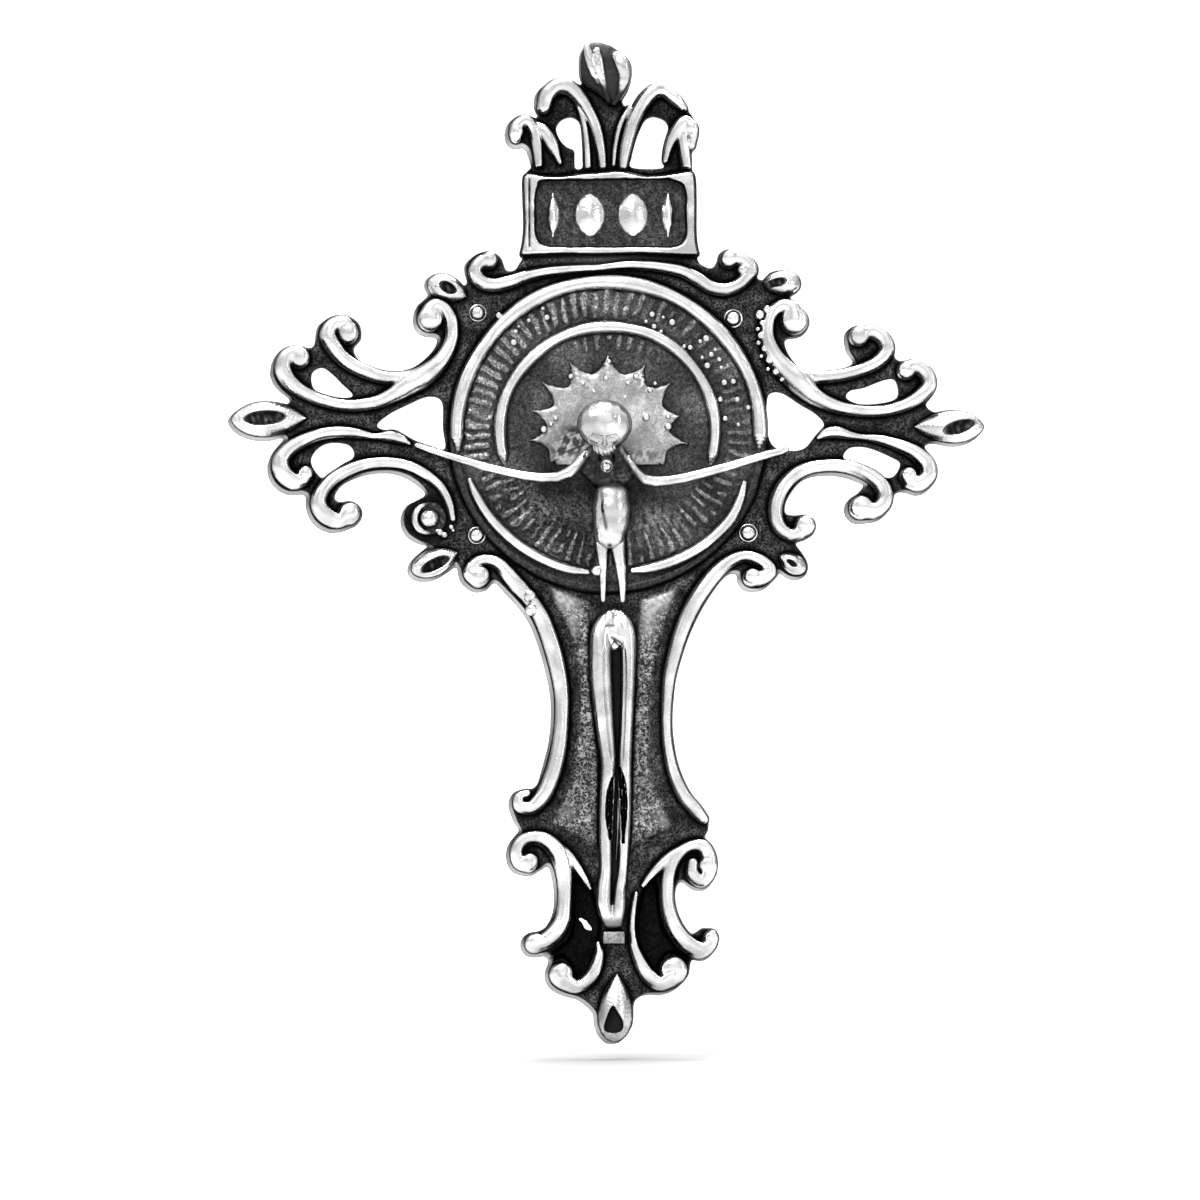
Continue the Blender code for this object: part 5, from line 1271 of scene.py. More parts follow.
def cross_plate():
    grid = Grid((to_x(224), -(PLATE_T + 0.42), to_z(1044)), (to_x(991), 0.12, to_z(38)), 0.09)
    X, Z = grid.X, grid.Z
    outer = outline(X, Z, PLATE_OUTLINE, 2)
    outer_edge = soften(outer, 2)
    bars = reliefs(X, Z)
    shape = plate_shape(X, Z, outer, bars)

    # Each raised field narrows beside its moulding and spreads again above the foot.
    fields = np.minimum(*(outline(X, Z, points) for points in STEM_FIELDS))
    u, v = sheet(X, Z)
    right, left = np.interp(v, *FIELD_RIGHT), np.interp(v, *FIELD_LEFT)
    fields = np.maximum(fields, np.where(u > 618, u - right, left - u) * UNIT)
    raised = 1 - ease(fields / UNIT, -5, 1.5)
    pockets = np.minimum(*(outline(X, Z, points, 2) for points in FOOT_POCKETS))
    grain = ripple(X, Z, 0.6, 61) * 0.5 + ripple(X, Z, 0.3, 62) * 0.5
    top = (PLATE_T + 0.02 + 0.20 * raised
           - 0.85 * (1 - ease(pockets / UNIT, -4, 1.5))
           - 0.12 * np.exp(-np.maximum(bars, 0) / (2.6 * UNIT))
           + 0.014 * grain)

    draft = plate_draft(X, Z, shape, outer_edge, grid.step)
    height = grid.height()
    flare = draft[:, None, :] * (1 - np.clip(height / PLATE_T, 0, 1)) - 0.03
    field = slab(shape[:, None, :] - flare, height - top[:, None, :], 0.10)
    field = smax(field, -height, 0.14)

    def nearest(x, z, *plans):
        """Values of plans at some vertices."""
        i = np.clip(np.round((x - grid.x[0]) / grid.step).astype(int), 0, X.shape[0] - 1)
        k = np.clip(np.round((z - grid.z[0]) / grid.step).astype(int), 0, X.shape[1] - 1)
        return [plan[i, k] for plan in plans]

    def wear(x, z, height):
        on_field, clear, pocket = nearest(x, z, raised, bars, pockets)
        tone = (0.26 + 0.68 * on_field + 0.10 * ripple(x, z, 2.6, 71)
                + on_field * sheet_spots(x, z, FIELD_WEAR))
        tone = (tone * (0.15 + 0.85 * ease(clear / UNIT, 0.5, 7.0))
                * (0.08 + 0.92 * ease(pocket / UNIT, -1, 4)))
        # Painted light: the neck under the board is brightened against the board's shade.
        tone = tone + sheet_spots(x, z, [(604, 262, 62, 7, 0.95)])
        u, v = sheet(x, z)
        for *ends, width, strength in PLATE_SCRATCHES:
            tone = tone * (1 - strength * scratch(u, v, ends, width))
        beside_bud = 1 - np.exp(-((x - to_x(612)) / (13 * UNIT)) ** 2)
        tone = tone * (1 - 0.55 * ease(z, to_z(172), to_z(166)) * beside_bud)
        back = ease(-height, -0.10, -0.02)
        return np.clip(tone * (1 - back) + 1.6 * back, 0.02, 1.7)

    def rim(x, z, height):
        on_field, spread, edge = nearest(x, z, raised, draft, outer_edge)
        side = ease(edge, -0.16, -0.02) * between(height, 0.10, 0.34, 0.95, 1.15)
        tone = 0.10 + 0.62 * ease(spread, 0.16, 0.34) + 0.12 * ripple(x, z, 3.0, 73)
        noise = ripple(x, z, 0.40, 91) + 0.5 * ripple(x, z, 1.0, 92)
        flecks = 0.66 + 0.34 * ease(noise, -0.5, 0.5)
        patch = sheet_spots(x, z, FIELD_GLOW) * flecks * on_field * ease(height, 1.2, 1.3)
        # Painted light: polish added to the neck under the board, against the board's shade.
        neck = sheet_spots(x, z, [(604, 261, 46, 5, 0.26)]) * ease(height, 1.0, 1.2)
        return np.clip(np.maximum(np.maximum(side * tone, patch), neck), 0, 0.95)

    mesh_piece("cross_plate", field, grid, FLOOR, slot="oxidised_steel", turns=1,
               wear=wear, rim=rim)


cross_plate()

# ------------------------------------------------------------------ titulus
# Buds on the board: (u, v, half width, half height).
TITULUS_BUDS = ((553, 216, 7.5, 22), (590, 216, 15, 22), (633, 216, 15, 22), (668, 216, 7.5, 22))


def board_groove(x, z, width):
    """One in the upright groove of the left rail."""
    line = np.exp(-((x - to_x(529.6)) / (width * UNIT)) ** 2)
    return line * between(z, to_z(251), to_z(247), to_z(181), to_z(177))


def titulus_board():
    """A board with a raised rail round a sunk well."""
    grid = Grid((to_x(516), -(LAYER1 + 1.25), to_z(262)),
                (to_x(703), -LAYER1 + 0.3, to_z(167)), 0.06)
    X, Z = grid.X, grid.Z
    outer = soften(outline(X, Z, BOARD_EDGE, 3), 1)
    well = outline(X, Z, BOARD_WELL, 3) + 0.02 * ripple(X, Z, 1.2, 81)
    height = grid.height(LAYER1)
    rail = smax(outer, -well, 0.05)
    crest = (0.98 + 0.03 * ripple(X, Z, 2.5, 82)
             - 0.55 * np.clip(1 + rail / (3.5 * UNIT), 0, 1) ** 2)
    crest = crest - 0.16 * board_groove(X, Z, 1.1)
    rails = slab(rail[:, None, :] - 0.05 * (0.9 - height), height - crest[:, None, :], 0.14)
    floor_top = 0.34 + 0.010 * grid.texture(0.4, 83)
    floor = np.maximum(outer[:, None, :], height - floor_top)
    field = np.maximum(smin(rails, floor, 0.06), -height - 0.18)

    def wear(x, z, height):
        tone = 0.16 + 0.05 * ripple(x, z, 0.8, 84) + 1.2 * ease(height - LAYER1, 0.55, 0.82)
        return np.clip(tone * (1 - 0.92 * board_groove(x, z, 0.9)), 0.03, 1.2)

    mesh_piece("titulus_board", field, grid, BOARD_STEEL, wear=wear)


def titulus_bud(number, u, v, wide, tall):
    base, steps = LAYER1 + 0.30, 16
    line = np.array([(to_x(u), to_z(v - tall + 2 * tall * i / steps),
                      max(0.9, wide * math.sin(math.pi * i / steps) ** 0.9) * UNIT)
                     for i in range(steps + 1)])
    grid = bar_grid([line], [], base, 0.6, 0.04)
    gap, half = beside(grid, line)
    height = grid.height(base)
    crown = 0.62 / (wide * UNIT) if wide > 10 else 1.0
    field = crowned(gap, half, np.maximum(height, 0), half * crown, 1.35)
    field = np.maximum(field, -height - 0.1) + 0.008 * grid.texture(0.5, number)
    mesh_piece(f"titulus_bud_{number}", field, grid, MOULDING)


titulus_board()
for number, bud in enumerate(TITULUS_BUDS, 1):
    titulus_bud(number, *bud)

# ------------------------------------------------------------------ corpus: torso
# Limbs: blend (mm), then points (u, v, height of the centre over layer 2 in mm, radius).
# Neck and hollow chest, set back.
CHEST = [
    (0.12, [(606, 446, 0.95, 9), (606.5, 460, 0.48, 10), (607.5, 474, 0.20, 11),
            (609, 488, 0.20, 12)]),
    (0.14, [(599, 446, 0.80, 8), (594, 458, 0.38, 9.5), (589, 468, 0.08, 9),
            (598, 478, 0.02, 8.5)]),
    (0.14, [(613, 446, 0.80, 8), (618, 458, 0.38, 9.5), (625, 468, 0.08, 9),
            (618, 478, 0.02, 8.5)]),
]
LIMBS = [
    # The robe from breast to waist.
    (0.10, [(611.8, 497, 0.40, 17.5), (611.5, 508, 0.40, 19.3), (611, 522, 0.36, 18.2),
            (610, 535, 0.30, 15)]),
    # Arms, thin and slack; each rises beside the neck like a collar.
    (0.06, [(585, 456, 0.50, 5.0), (582, 461, 0.62, 6.2), (577, 467, 0.68, 6.2),
            (569, 473, 0.65, 5.6), (557, 477.5, 0.50, 5.0), (542, 478, 0.42, 4.8),
            (525, 476, 0.40, 4.6), (505, 472, 0.40, 4.2), (485, 467, 0.40, 4.4),
            (465, 461, 0.38, 3.8), (447, 455.5, 0.25, 3.4), (430, 450, 0.0, 3.2),
            (417, 445.5, -0.2, 2.6)]),
    (0.06, [(628, 459, 0.50, 3.0), (630.5, 464, 0.65, 4.0), (635, 472, 0.70, 4.8),
            (643, 479.5, 0.60, 5.2), (655, 482, 0.48, 5.2), (668, 481, 0.42, 5.0),
            (684, 478.5, 0.40, 5.0), (703, 473.5, 0.40, 4.8), (724, 468, 0.38, 4.6),
            (745, 461.5, 0.35, 4.4), (765, 455.5, 0.25, 4.2), (781, 451.5, 0.05, 3.6),
            (786, 450, -0.05, 2.8)]),
    # Shoulders.
    (0.10, [(596, 479, 0.30, 6), (586, 470, 0.45, 5)]),
    (0.10, [(622, 480, 0.30, 6), (632, 473, 0.45, 4)]),
    # The robe below the waist, in two tails.
    (0.05, [(601.5, 530, 0.28, 8.5), (602, 548, 0.22, 6.2), (603, 566, 0.18, 4.0),
            (603, 584, 0.12, 3.2), (603, 600, 0.02, 2.4)]),
    (0.05, [(616, 530, 0.28, 9.5), (618, 548, 0.22, 7.0), (620.5, 566, 0.18, 5.4),
            (622.5, 584, 0.12, 3.8), (622.5, 600, 0.02, 2.6)]),
]
# Grooves: u and v of both ends, height over layer 2 (mm), radius.
CHEST_CREASES = (
    (599, 452, 603, 480, 1.02, 1.5), (614, 452, 611, 478, 1.02, 1.5),
    (590, 458, 584, 474, 0.92, 1.3), (622, 456, 628, 470, 0.92, 1.3),
    (603, 481, 609, 476, 0.98, 1.5), (609, 476, 615, 482, 0.98, 1.5))
# A crooked line down the breast, a belt, and a pleat below it.
ROBE_FOLDS = (
    (602, 492, 603, 512, 1.50, 1.5), (603, 512, 606, 528, 1.66, 1.3),
    (606, 528, 612, 534, 1.58, 1.3), (600, 537.5, 617, 538, 1.36, 1.5),
    (609, 540, 611, 556, 0.95, 1.6), (601, 553, 608, 552, 0.72, 1.0))
CHEST_BEADS = ((606.5, 467, 4.6), (601.8, 462, 1.6), (604.4, 460.2, 1.5), (608.6, 460.6, 1.7),
               (611.6, 463.4, 1.5), (605, 471.5, 2.6))


def add_limbs(field, grid, limbs):
    """Fillet chains of bars into a field in place."""
    for blend, points in limbs:
        for (u0, v0, h0, r0), (u1, v1, h1, r1) in zip(points, points[1:]):
            a = (to_x(u0), -LAYER2 - h0, to_z(v0))
            b = (to_x(u1), -LAYER2 - h1, to_z(v1))
            reach = max(r0, r1) * UNIT + 0.25
            part = grid.cut([min(p, q) - reach for p, q in zip(a, b)],
                            [max(p, q) + reach for p, q in zip(a, b)])
            bar = capsule(grid.samples(part), a, b, r0 * UNIT, r1 * UNIT)
            field[part] = smin(field[part], bar, blend)


def groove(field, grid, level, rows):
    for u0, v0, u1, v1, lift, radius in rows:
        y = -(level + lift)
        bar = capsule(grid.samples(), (to_x(u0), y, to_z(v0)), (to_x(u1), y, to_z(v1)),
                      radius * UNIT, radius * UNIT)
        field = smax(field, -bar, 0.05)
    return field


def robe_oxide_and_painted_light(x, z, height):
    """Painted shade over the chest, with a painted highlight on its bead; dark in the breast fold
    and between the tails.
    """
    u, v = sheet(x, z)
    # Painted shade: the chest is darkened, widening downwards; a painted highlight brightens the
    # bead in it.
    wide = 13 + 0.72 * np.maximum(v - 452, 0)
    chest = (1 - ease(np.abs(u - 605.5) - wide, 0, 5)) * between(v, 440, 447, 486, 493)
    pearl_highlight = 1 - ease(np.hypot(u - 606.5, (v - 466.5) / 1.15), 4.2, 6.4)
    grime = (0.07 * ease(ripple(x, z, 0.5, 97), 0.0, 1.2)
             + spots(u, v, [(622, 479, 10, 7, 0.16)]) * ease(ripple(x, z, 0.35, 98), -0.3, 0.6))
    fold = (np.exp(-((u - (602 + 4 * ease(v, 505, 530))) / 1.6) ** 2)
            * between(v, 488, 494, 526, 534))
    spread = ease(v, 545, 590)
    gap = (1 - ease(np.abs(u - (609.5 + 3.0 * spread)), 1.0 + 4.5 * spread, 3.0 + 5.0 * spread))
    return np.clip((1 - 0.95 * chest) + (grime + 0.90 * pearl_highlight) * chest - 0.8 * fold
                   - gap * ease(v, 540, 552), 0.03, 1.0)


def corpus_torso():
    grid = Grid((to_x(404), -LAYER2 - 2.0, to_z(608)),
                (to_x(794), -LAYER2 + 0.55, to_z(442)), 0.055)
    field = grid.empty()
    add_limbs(field, grid, CHEST)
    field = groove(field, grid, LAYER2, CHEST_CREASES)
    add_limbs(field, grid, LIMBS)
    field = groove(field, grid, LAYER2, ROBE_FOLDS)
    add_beads(field, grid, [(596.5, 571, 5.4)], LAYER2 + 0.35, 0.03)
    for bead in CHEST_BEADS:
        add_beads(field, grid, [bead], LAYER2 + 0.98 + 0.02 * bead[2], 0.04)
    noise = ripple(grid.X, grid.Z, 0.45, 95) * 0.6 + ripple(grid.X, grid.Z, 0.22, 96) * 0.4
    rough_zone = (ease(grid.Z, to_z(492), to_z(484))
                  * (1 - ease(np.abs(grid.X - to_x(607)), 22 * UNIT, 30 * UNIT)))
    field = field + 0.035 * (noise * rough_zone)[:, None, :]
    field = np.maximum(field, grid.y[None, :, None] - (-LAYER2 + 0.45))
    mesh_piece("corpus_torso", field, grid, FIGURE, slot="figure_steel", wear=robe_oxide_and_painted_light)


corpus_torso()


# ------------------------------------------------------------------ corpus: head
def head_face(samples):
    """Face and short beard, in the head's own axes: +x right, -y forward, +z up."""
    def lump(centre, radii):
        return ellipsoid(samples, centre, radii)

    def rod(a, b, radius_a, radius_b):
        return capsule(samples, a, b, radius_a, radius_b)

    x, y, z = samples
    face = lump((0, -0.10, 0.0), (1.16, 1.28, 1.62))
    face = smin(face, lump((0, -0.42, -0.72), (0.84, 0.86, 0.86)), 0.25)
    # On each side: socket, lid, brow, cheek and nostril.
    for side in (-1, 1):
        face = smax(face, -lump((side * 0.44, -1.46, -0.02), (0.33, 0.30, 0.20)), 0.12)
        face = smin(face, lump((side * 0.43, -1.13, -0.04), (0.23, 0.17, 0.12)), 0.05)
        face = smin(face, rod((side * 0.14, -1.32, 0.24), (side * 0.74, -1.08, 0.20),
                              0.085, 0.06), 0.10)
        face = smin(face, lump((side * 0.62, -0.92, -0.36), (0.34, 0.26, 0.24)), 0.20)
        face = smin(face, lump((side * 0.13, -1.42, -0.56), (0.10, 0.10, 0.08)), 0.06)
    # Nose, lips and the line between them.
    face = smin(face, rod((0, -1.26, 0.16), (0, -1.52, -0.50), 0.07, 0.13), 0.08)
    face = smin(face, lump((0, -1.26, -0.86), (0.30, 0.16, 0.065)), 0.04)
    face = smin(face, lump((0, -1.22, -0.99), (0.25, 0.16, 0.07)), 0.04)
    face = smax(face, -rod((-0.27, -1.42, -0.925), (0.27, -1.42, -0.925), 0.022, 0.022), 0.02)
    strands = 0.035 * np.sin(np.arctan2(x, -y) * 26 + 6 * z)
    beard = lump((0, -0.72, -1.22), (0.78, 0.62, 0.62)) + strands
    beard = smax(beard, -rod((-0.3, -1.5, -0.92), (0.3, -1.5, -0.92), 0.24, 0.24), 0.08)
    return smin(face, beard, 0.06)


def head_hair(samples):
    """A cap of hair, open at the face, falling in locks beside it."""
    x, y, z = samples
    sweep = 0.32 * np.sin(np.abs(x) * 9.0 - z * 3.0 + 2.0 * y)
    hair = ellipsoid(samples, (0, 0.18, 0.10), (1.92, 1.50, 1.78)) + 0.022 * sweep
    hair = smax(hair, -ellipsoid(samples, (0, -1.55, -0.55), (1.12, 0.95, 1.28)), 0.10)
    for side in (-1, 1):
        lock = capsule(samples, (side * 1.22, -0.20, 0.10), (side * 0.98, 0.00, -1.05),
                       0.52, 0.34)
        hair = smin(hair, lock + 0.03 * sweep, 0.25)
    return hair


def corpus_head():
    """The head, bowed forward."""
    centre = (to_x(604.5), -LAYER2 - 1.70, to_z(427.5))
    bow = math.radians(34.0)
    grid = Grid((centre[0] - 2.2, centre[1] - 2.3, centre[2] - 2.4),
                (centre[0] + 2.2, centre[1] + 2.1, centre[2] + 2.2), 0.038)
    cos, sin = math.cos(bow), math.sin(bow)
    x, y, z = (axis - middle for axis, middle in zip(grid.samples(), centre))
    samples = [np.broadcast_to(axis, grid.shape).astype(np.float32)
               for axis in (x, cos * y + sin * z, -sin * y + cos * z)]
    field = smin(head_face(samples), head_hair(samples), 0.05)
    mesh_piece("corpus_head", field, grid, HEAD_STEEL, stands_for="corpus_torso",
               slot="figure_steel", turns=1)


corpus_head()

# ------------------------------------------------------------------ corpus: legs
LEG_LINES = [
    [(609, 613.5, 4.5), (604.5, 622, 8.5), (601, 634, 10.8), (600.6, 650, 11.6), (601, 675, 11.8),
     (602.8, 700, 10.8), (604.8, 725, 9.8), (607, 745, 8.8), (608.4, 765, 7.8), (606.5, 800, 7.6),
     (605.5, 838, 7.0), (605.8, 868, 6.4), (604, 890, 7.6), (604, 906, 8), (609, 922, 6)],
    [(620, 613.5, 4.5), (624, 622, 8), (627.2, 634, 8.8), (628.6, 650, 8.2), (628.2, 675, 7.6),
     (627.4, 700, 7.2), (626.5, 725, 6.8), (625.7, 745, 6.9), (625, 765, 7.0), (625, 800, 6.8),
     (624.4, 838, 6.0), (622.8, 868, 5.2), (620, 890, 6.0), (619, 906, 6.8), (617, 922, 6)],
]
# Bars joined to the legs: points, crown, seed, blend of the bar, blend of the joint.
LEG_JOINTS = [
    # The yoke at the hips, and the web between the legs.
    ([(614.5, 614, 6.5), (614, 623, 12.5), (614, 634, 14.5), (614.5, 643, 8)],
     1.05, 10, 0.06, 0.10),
    ([(615.5, 640, 8), (617, 700, 8), (617, 800, 8), (613.5, 915, 8)], 0.20, 10, 0.06, 0.03),
    # Two hairline ribs in the slit, below the knees.
    ([(609.5, 775, 1.2), (609.5, 800, 1.6), (609.5, 830, 1.6), (610, 860, 1.0)],
     4.2, 3, 0.02, 0.02),
    ([(618.5, 785, 1.0), (618, 810, 1.4), (617.5, 835, 1.2), (616, 860, 1.0)],
     4.2, 3, 0.02, 0.02),
    # The toes.
    ([(611, 908, 6), (613, 921, 8)], 1.3, 10, 0.06, 0.08),
]
# Grooves at the hips: u and v of both ends, height over layer 1 (mm), radius.
HIP_FOLDS = ((614.5, 603, 612, 622, 1.22, 1.6), (605, 625.5, 613, 625, 1.34, 1.6),
             (611, 637, 620, 642, 1.26, 1.6))
# Dark nicks at the hips: u and v of both ends, strength.
HIP_NICKS = ((614.5, 606, 612, 623, 0.35), (605.5, 625.5, 613, 625, 0.8),
             (612, 637.5, 620, 642, 0.8))
# The crease down each leg: v, then u there.
LEFT_CREASE = ([640, 662, 683, 724, 760], [604.5, 603.5, 603.8, 607.5, 611.5])
RIGHT_CREASE = ([640, 662, 683, 724, 760], [624.0, 625.2, 625.6, 624.2, 622.5])
# Eaten hollows below the knees: (u, v, half width).
LEG_PITS = [spline([(612.5, 778, 0.5), (610.6, 788, 2.2), (609.4, 802, 2.9), (609, 818, 2.6),
                    (610.4, 838, 0.5)]),
            spline([(619.5, 768, 0.5), (621.6, 778, 2.4), (623.2, 792, 2.9), (623.8, 812, 2.5),
                    (623, 842, 0.5)])]


def creases(u, v, left_width, right_width):
    left = np.exp(-((u - np.interp(v, *LEFT_CREASE)) / left_width) ** 2)
    right = np.exp(-((u - np.interp(v, *RIGHT_CREASE)) / right_width) ** 2)
    return (left + right) * between(v, 644, 654, 752, 766)


def pitted(x, z):
    """One inside the eaten hollows, falling to nought just outside them."""
    return 1 - ease(to_lines(x, z, LEG_PITS), -0.4 * UNIT, 1.0 * UNIT)


def crumbs(x, z):
    return ripple(x, z * 0.35, 0.30, 99) + 0.5 * ripple(x, z, 0.25, 100)


def leg_wear(x, z, height):
    u, v = sheet(x, z)
    slit = between(v, 640, 650, 896, 908) * (1 - ease(height - LAYER1, 0.18, 0.42))
    nicks = 0
    for *ends, strength in HIP_NICKS:
        nicks = np.maximum(nicks, strength * scratch(u, v, ends, 1.5))
    pits = pitted(x, z) * (0.97 - 0.8 * ease(crumbs(x, z), 0.3, 0.8))
    tone = (1 - slit) * (1 - 0.26 * creases(u, v, 1.1, 1.0)) * (1 - nicks) * (1 - pits)
    return np.clip(tone, 0.02, 1) * (1 - 0.6 * ease(v, 914, 922))


def corpus_legs():
    """Legs under a long robe, parted by a long dark slit."""
    grid = Grid((to_x(583), -(LAYER1 + 1.75), to_z(932)),
                (to_x(641), -LAYER1 + 0.3, to_z(603)), 0.05)
    legs = [spline(points) for points in LEG_LINES]
    field = bar_field(grid, legs, [], LAYER1, 1.75, 9, 0.06, power=2.4)
    for points, crown, seed, blend, joint in LEG_JOINTS:
        bar = bar_field(grid, [spline(points)], [], LAYER1, crown, seed, blend)
        field = smin(field, bar, joint)
    field = groove(field, grid, LAYER1, HIP_FOLDS)
    eaten = pitted(grid.X, grid.Z) * (0.55 - 0.40 * ease(crumbs(grid.X, grid.Z), 0.2, 0.9))
    worn = 0.07 * creases(*sheet(grid.X, grid.Z), 1.3, 1.2) + eaten
    mesh_piece("corpus_legs", field + worn[:, None, :], grid, FIGURE, slot="figure_steel",
               wear=leg_wear)


corpus_legs()


# ------------------------------------------------------------------ foot rest and bail
def boxed(name, step):
    """A CAD piece's corners in millimetres, and a grid round it."""
    low, high = ([c / MM for c in corner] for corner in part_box(name))
    return low, high, Grid([c - 0.3 for c in low], [c + 0.3 for c in high], step)


def foot_rest():
    """A block whose upper front edge is sloped off."""
    low, high, grid = boxed("foot_rest", 0.035)
    field = box_field(grid, low, (high[0], high[1] + 0.2, high[2]), 0.13)
    _, y, z = grid.samples()
    slope = (y - low[1]) * 0.88 + (z - high[2]) * -0.47
    field = smax(field, -(slope + 0.05), 0.08) + 0.012 * grid.texture(0.5, 3)
    mesh_piece("foot_rest", field, grid, REST_STEEL, slot="figure_steel")


EAR_T, EAR_IN = 0.80, 1.45          # thickness of the bracket's ears, and their inner faces' x
EAR_OUT = EAR_IN + EAR_T
EAR_R, BORE_R, PIN_R = 1.05, 0.47, 0.40
# Half outlines of the loop and its eye, seen from the side: y and z from the pin (mm).
BAIL_EDGE = [(0.0, 0.95), (0.50, 0.81), (0.84, 0.45), (0.97, -0.10), (1.10, -1.2), (1.36, -2.5),
             (1.56, -3.8), (1.60, -4.8), (1.44, -5.7), (1.05, -6.4), (0.5, -6.8), (0.0, -6.9)]
BAIL_EYE = [(0.0, -1.35), (0.40, -1.7), (0.63, -2.6), (0.84, -3.7), (0.90, -4.7), (0.80, -5.4),
            (0.48, -5.93), (0.0, -6.12)]


def bail_bracket():
    """A base with two bored ears."""
    low, high, grid = boxed("bail_bracket", 0.055)
    field = box_field(grid, (low[0], low[1] - 0.02, low[2]), (high[0], 0.75, high[2]), 0.16)
    x, y, z = grid.samples()
    y, z = y - PIN_Y, z - PIN_Z
    from_pin = np.sqrt(y ** 2 + z ** 2)
    plan = np.maximum(np.maximum(np.abs(z) - EAR_R, y), -y - PIN_Y + 0.4)
    plan = np.minimum(plan, from_pin - EAR_R)
    for side in (-1, 1):
        wall = np.abs(x - side * (EAR_IN + EAR_OUT) / 2) - EAR_T / 2
        field = smin(field, smax(plan, wall, 0.14), 0.22)
    field = smax(field, -(from_pin - BORE_R), 0.05)
    mesh_piece("bail_bracket", field, grid, BAIL_STEEL, slot="bail_steel")


def bail_pin():
    """A pin with a rounded rivet head at each end."""
    low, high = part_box("bail_pin")
    reach = (high.x - low.x) / MM / 2
    grid = Grid((-reach - 0.3, PIN_Y - 0.8, PIN_Z - 0.8),
                (reach + 0.3, PIN_Y + 0.8, PIN_Z + 0.8), 0.045)
    x, y, z = grid.samples()
    radius = np.sqrt((y - PIN_Y) ** 2 + (z - PIN_Z) ** 2)
    out = np.abs(x)
    shank = np.maximum(radius - PIN_R, out - reach + 0.05)
    rivet = np.sqrt(np.maximum(radius - 0.42, 0) ** 2 + (out - (EAR_OUT + 0.20)) ** 2) - 0.17
    cap = out - reach + 0.02 + 0.4 * radius
    rivet = np.where(radius > 0.30, rivet, np.maximum(rivet, cap))
    mesh_piece("bail_pin", smin(shank, rivet, 0.05), grid, BAIL_STEEL, slot="bail_steel")


def bail_loop():
    """A flat pierced drop that hangs from the pin and thins towards its foot."""
    def closed(points):
        return points + [(-y, z) for y, z in points[-2:0:-1]]

    grid = Grid((-1.55, PIN_Y - 1.9, PIN_Z - 7.2), (1.55, PIN_Y + 1.9, PIN_Z + 1.25), 0.05)
    Y, Z = np.meshgrid(grid.y - PIN_Y, grid.z - PIN_Z, indexing="ij")
    edge = soften(polygon(Y, Z, closed(BAIL_EDGE)), 2)
    eye = soften(polygon(Y, Z, closed(BAIL_EYE)), 2)
    plan = np.maximum(np.maximum(edge, -eye), -(np.hypot(Y, Z) - BORE_R))
    taper = 1.25 - 0.28 * ease(-Z, 4.2, 6.6)
    wall = np.abs(grid.x[:, None, None]) - taper[None]
    mesh_piece("bail_loop", smax(wall, plan[None], 0.30), grid, BAIL_STEEL, body=BAIL,
               slot="bail_steel")


foot_rest()
bail_bracket()
bail_pin()
bail_loop()

# ------------------------------------------------------------------ stage, light and camera
FLOOR_Z = (to_z(1038.3) - 1.45) * MM
# In metres: the sweep's half width, how far its floor comes forward, where its bend starts, the
# bend's radius, and the back's top. Its flat back stands at the bend's end.
SWEEP_HALF, SWEEP_FRONT, BEND_Y, BEND_R, SWEEP_TOP = 1.5, -1.6, 0.30, 0.25, 1.2


def paper():
    """Matt grey paper with a painted shadow under the pendant; it glows to the camera away from the
    pendant, and is clear from behind.
    """
    material = bpy.data.materials.new("studio_paper")
    material.use_nodes = True
    material.node_tree.nodes.clear()
    nodes = Nodes(material.node_tree)
    add, math_node, span = nodes.add, nodes.math, nodes.span

    def vector(operation, first, second=None):
        inputs = {0: first} if second is None else {0: first, 1: second}
        return add("VectorMath", inputs, operation=operation).outputs

    tone = span(add("TexNoise", {"Scale": 900.0}).outputs["Fac"], 0.0, 1.0,
                to_low=0.39, to_high=0.41, kind="LINEAR")
    # Painted shadow: the paper's colour dips in a soft ellipse under the pendant.
    where = add("NewGeometry").outputs
    shifted = vector("SUBTRACT", where["Position"], (to_x(617) * MM, 0.0, FLOOR_Z))[0]
    squashed = vector("MULTIPLY", shifted, (1 / 0.0112, 1 / 0.045, 40.0))[0]
    dip = span(vector("LENGTH", squashed)["Value"], 0.0, 1.0, to_low=0.86, to_high=1.0,
               kind="SMOOTHERSTEP")
    diffuse = add("BsdfDiffuse", {"Color": math_node("MULTIPLY", tone, dip)})
    # The glow rises with the distance from the pendant, in metres.
    flat = vector("MULTIPLY", add("NewGeometry").outputs["Position"], (1.0, 1.0, 0.0))[0]
    rise = span(vector("LENGTH", flat)["Value"], low=0.08, high=0.26, to_low=0.02, to_high=0.72)
    seen = add("LightPath").outputs["Is Camera Ray"]
    glow = add("Emission", {"Strength": math_node("MULTIPLY", seen, rise)})
    front = add("AddShader", {0: diffuse.outputs[0], 1: glow.outputs[0]})
    mixed = add("MixShader", {0: where["Backfacing"], 1: front.outputs[0],
                              2: add("BsdfTransparent").outputs[0]})
    add("OutputMaterial", {"Surface": mixed.outputs[0]})
    return material


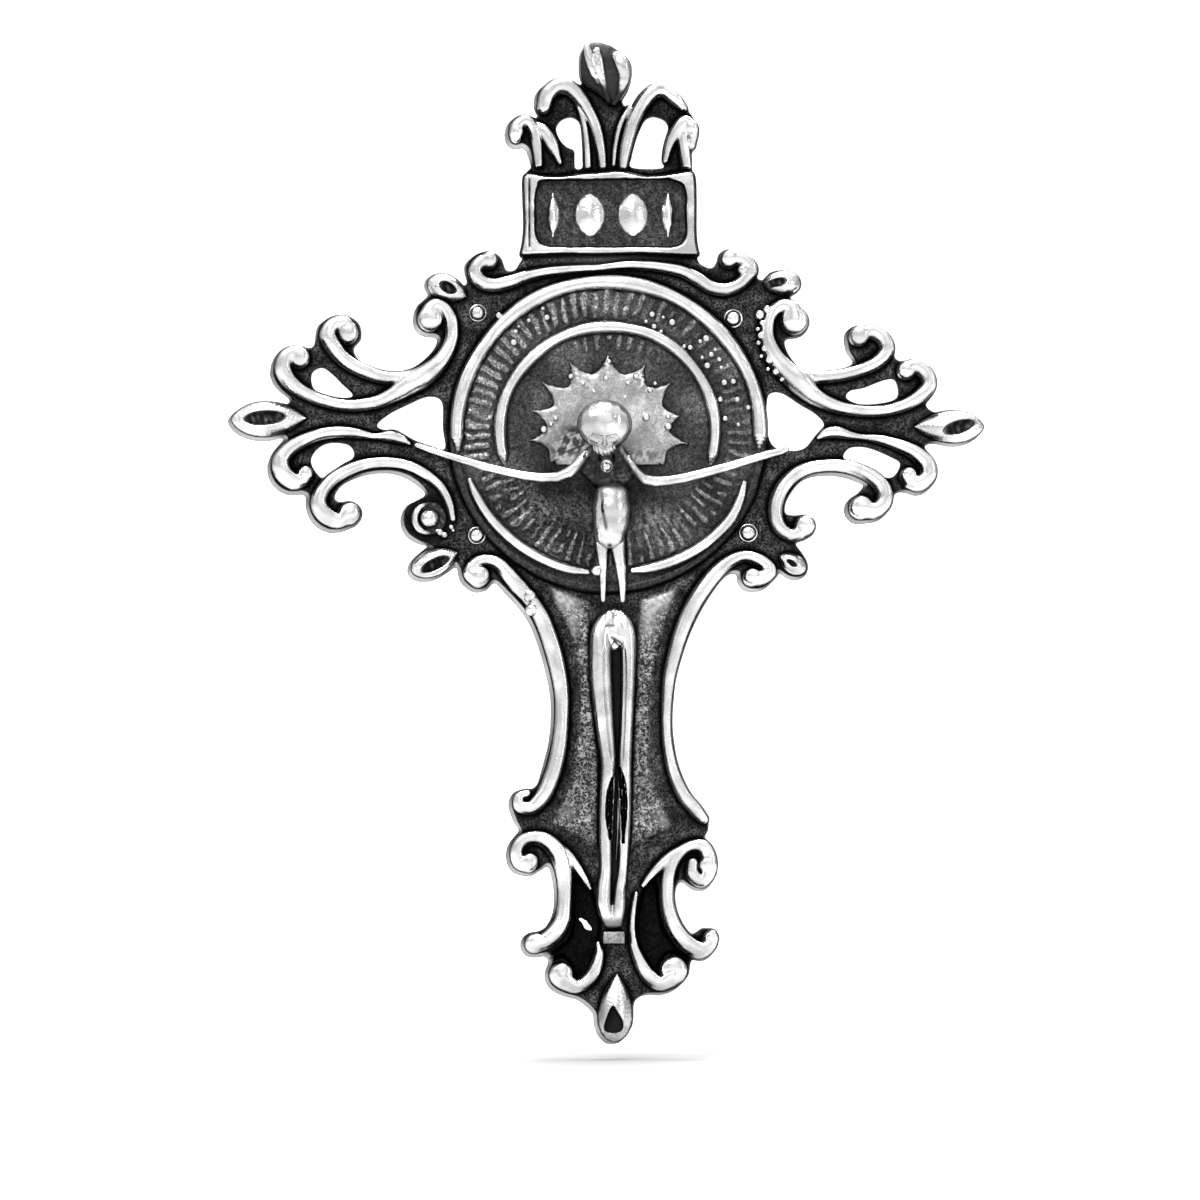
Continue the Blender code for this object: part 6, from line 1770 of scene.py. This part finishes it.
def studio_sweep():
    """A floor that bends up into a back."""
    profile = [(SWEEP_FRONT, FLOOR_Z)]
    for i in range(25):
        angle = math.pi / 2 * i / 24
        profile.append((BEND_Y + BEND_R * math.sin(angle),
                        FLOOR_Z + BEND_R - BEND_R * math.cos(angle)))
    profile.append((BEND_Y + BEND_R, SWEEP_TOP))
    verts = [(x, y, z) for y, z in profile for x in (-SWEEP_HALF, SWEEP_HALF)]
    faces = [(2 * i, 2 * i + 1, 2 * i + 3, 2 * i + 2) for i in range(len(profile) - 1)]
    mesh = bpy.data.meshes.new("studio_sweep")
    mesh.from_pydata(verts, [], faces)
    mesh.polygons.foreach_set("use_smooth", [True] * len(faces))
    sweep = bpy.data.objects.new("studio_sweep", mesh)
    bpy.context.scene.collection.objects.link(sweep)
    mesh.materials.append(paper())


def studio_world():
    """A bright wall ahead, brighter above and on the left, then a dark gap and side walls."""
    world = bpy.data.worlds.new("studio")
    bpy.context.scene.world = world
    world.use_nodes = True
    nodes = Nodes(world.node_tree)
    coord = nodes.add("TexCoord").outputs["Generated"]
    axes = nodes.add("SeparateXYZ", {0: coord}).outputs

    def band(axis, low, high, to_low, to_high):
        return nodes.span(axes[axis], low, high, to_low, to_high)

    def plus(first, second):
        return nodes.math("ADD", first, second)

    front = band("Y", low=-0.93, high=-0.70, to_low=1.02, to_high=0.0)
    above = band("Z", low=0.30, high=0.62, to_low=0.0, to_high=0.85)
    left = band("X", low=-0.80, high=-0.45, to_low=0.70, to_high=0.0)
    right = band("X", low=0.72, high=0.92, to_low=0.0, to_high=0.45)
    below = band("Z", low=-0.75, high=-0.30, to_low=0.02, to_high=0.10)
    behind = band("Y", low=0.2, high=0.6, to_low=0.0, to_high=0.20)
    total = plus(plus(plus(front, above), plus(left, behind)), plus(right, below))
    background = world.node_tree.nodes["Background"]
    nodes.feed(background.inputs["Strength"], total)
    background.inputs["Color"].default_value = (1.0, 1.0, 1.0, 1.0)


def softbox(name, place, size, power):
    """A rectangular light aimed at the pendant's middle."""
    data = bpy.data.lights.new(name, "AREA")
    data.shape = "RECTANGLE"
    data.size, data.size_y = size
    data.energy = power
    obj = bpy.data.objects.new(name, data)
    obj.location = place
    aim = Vector((0.0, 0.0, to_z(540) * MM))
    obj.rotation_euler = (aim - Vector(place)).to_track_quat("-Z", "Y").to_euler()
    bpy.context.scene.collection.objects.link(obj)


def studio_camera():
    """A level camera straight ahead, framing a square 1200 sheet units wide."""
    distance = 0.72
    data = bpy.data.cameras.new("camera")
    data.sensor_width = 36.0
    data.lens = data.sensor_width * distance / (1200 * UNIT * MM)
    data.clip_start, data.clip_end = 0.05, 10.0
    obj = bpy.data.objects.new("camera", data)
    obj.location = (to_x(600) * MM, -distance, to_z(600) * MM)
    obj.rotation_euler = (math.pi / 2, 0.0, 0.0)
    bpy.context.scene.collection.objects.link(obj)
    bpy.context.scene.camera = obj


studio_sweep()
studio_world()
softbox("key_softbox", place=(-0.20, -0.34, 0.34), size=(0.22, 0.16), power=1.5)
softbox("fill_softbox", place=(0.40, -0.30, 0.04), size=(0.10, 0.30), power=0.45)
softbox("top_softbox", place=(0.0, 0.0, 0.36), size=(0.19, 0.19), power=3.5)
softbox("back_softbox", place=(0.12, 0.24, 0.28), size=(0.20, 0.14), power=0.8)
studio_camera()
bpy.context.scene.view_settings.view_transform = "Standard"
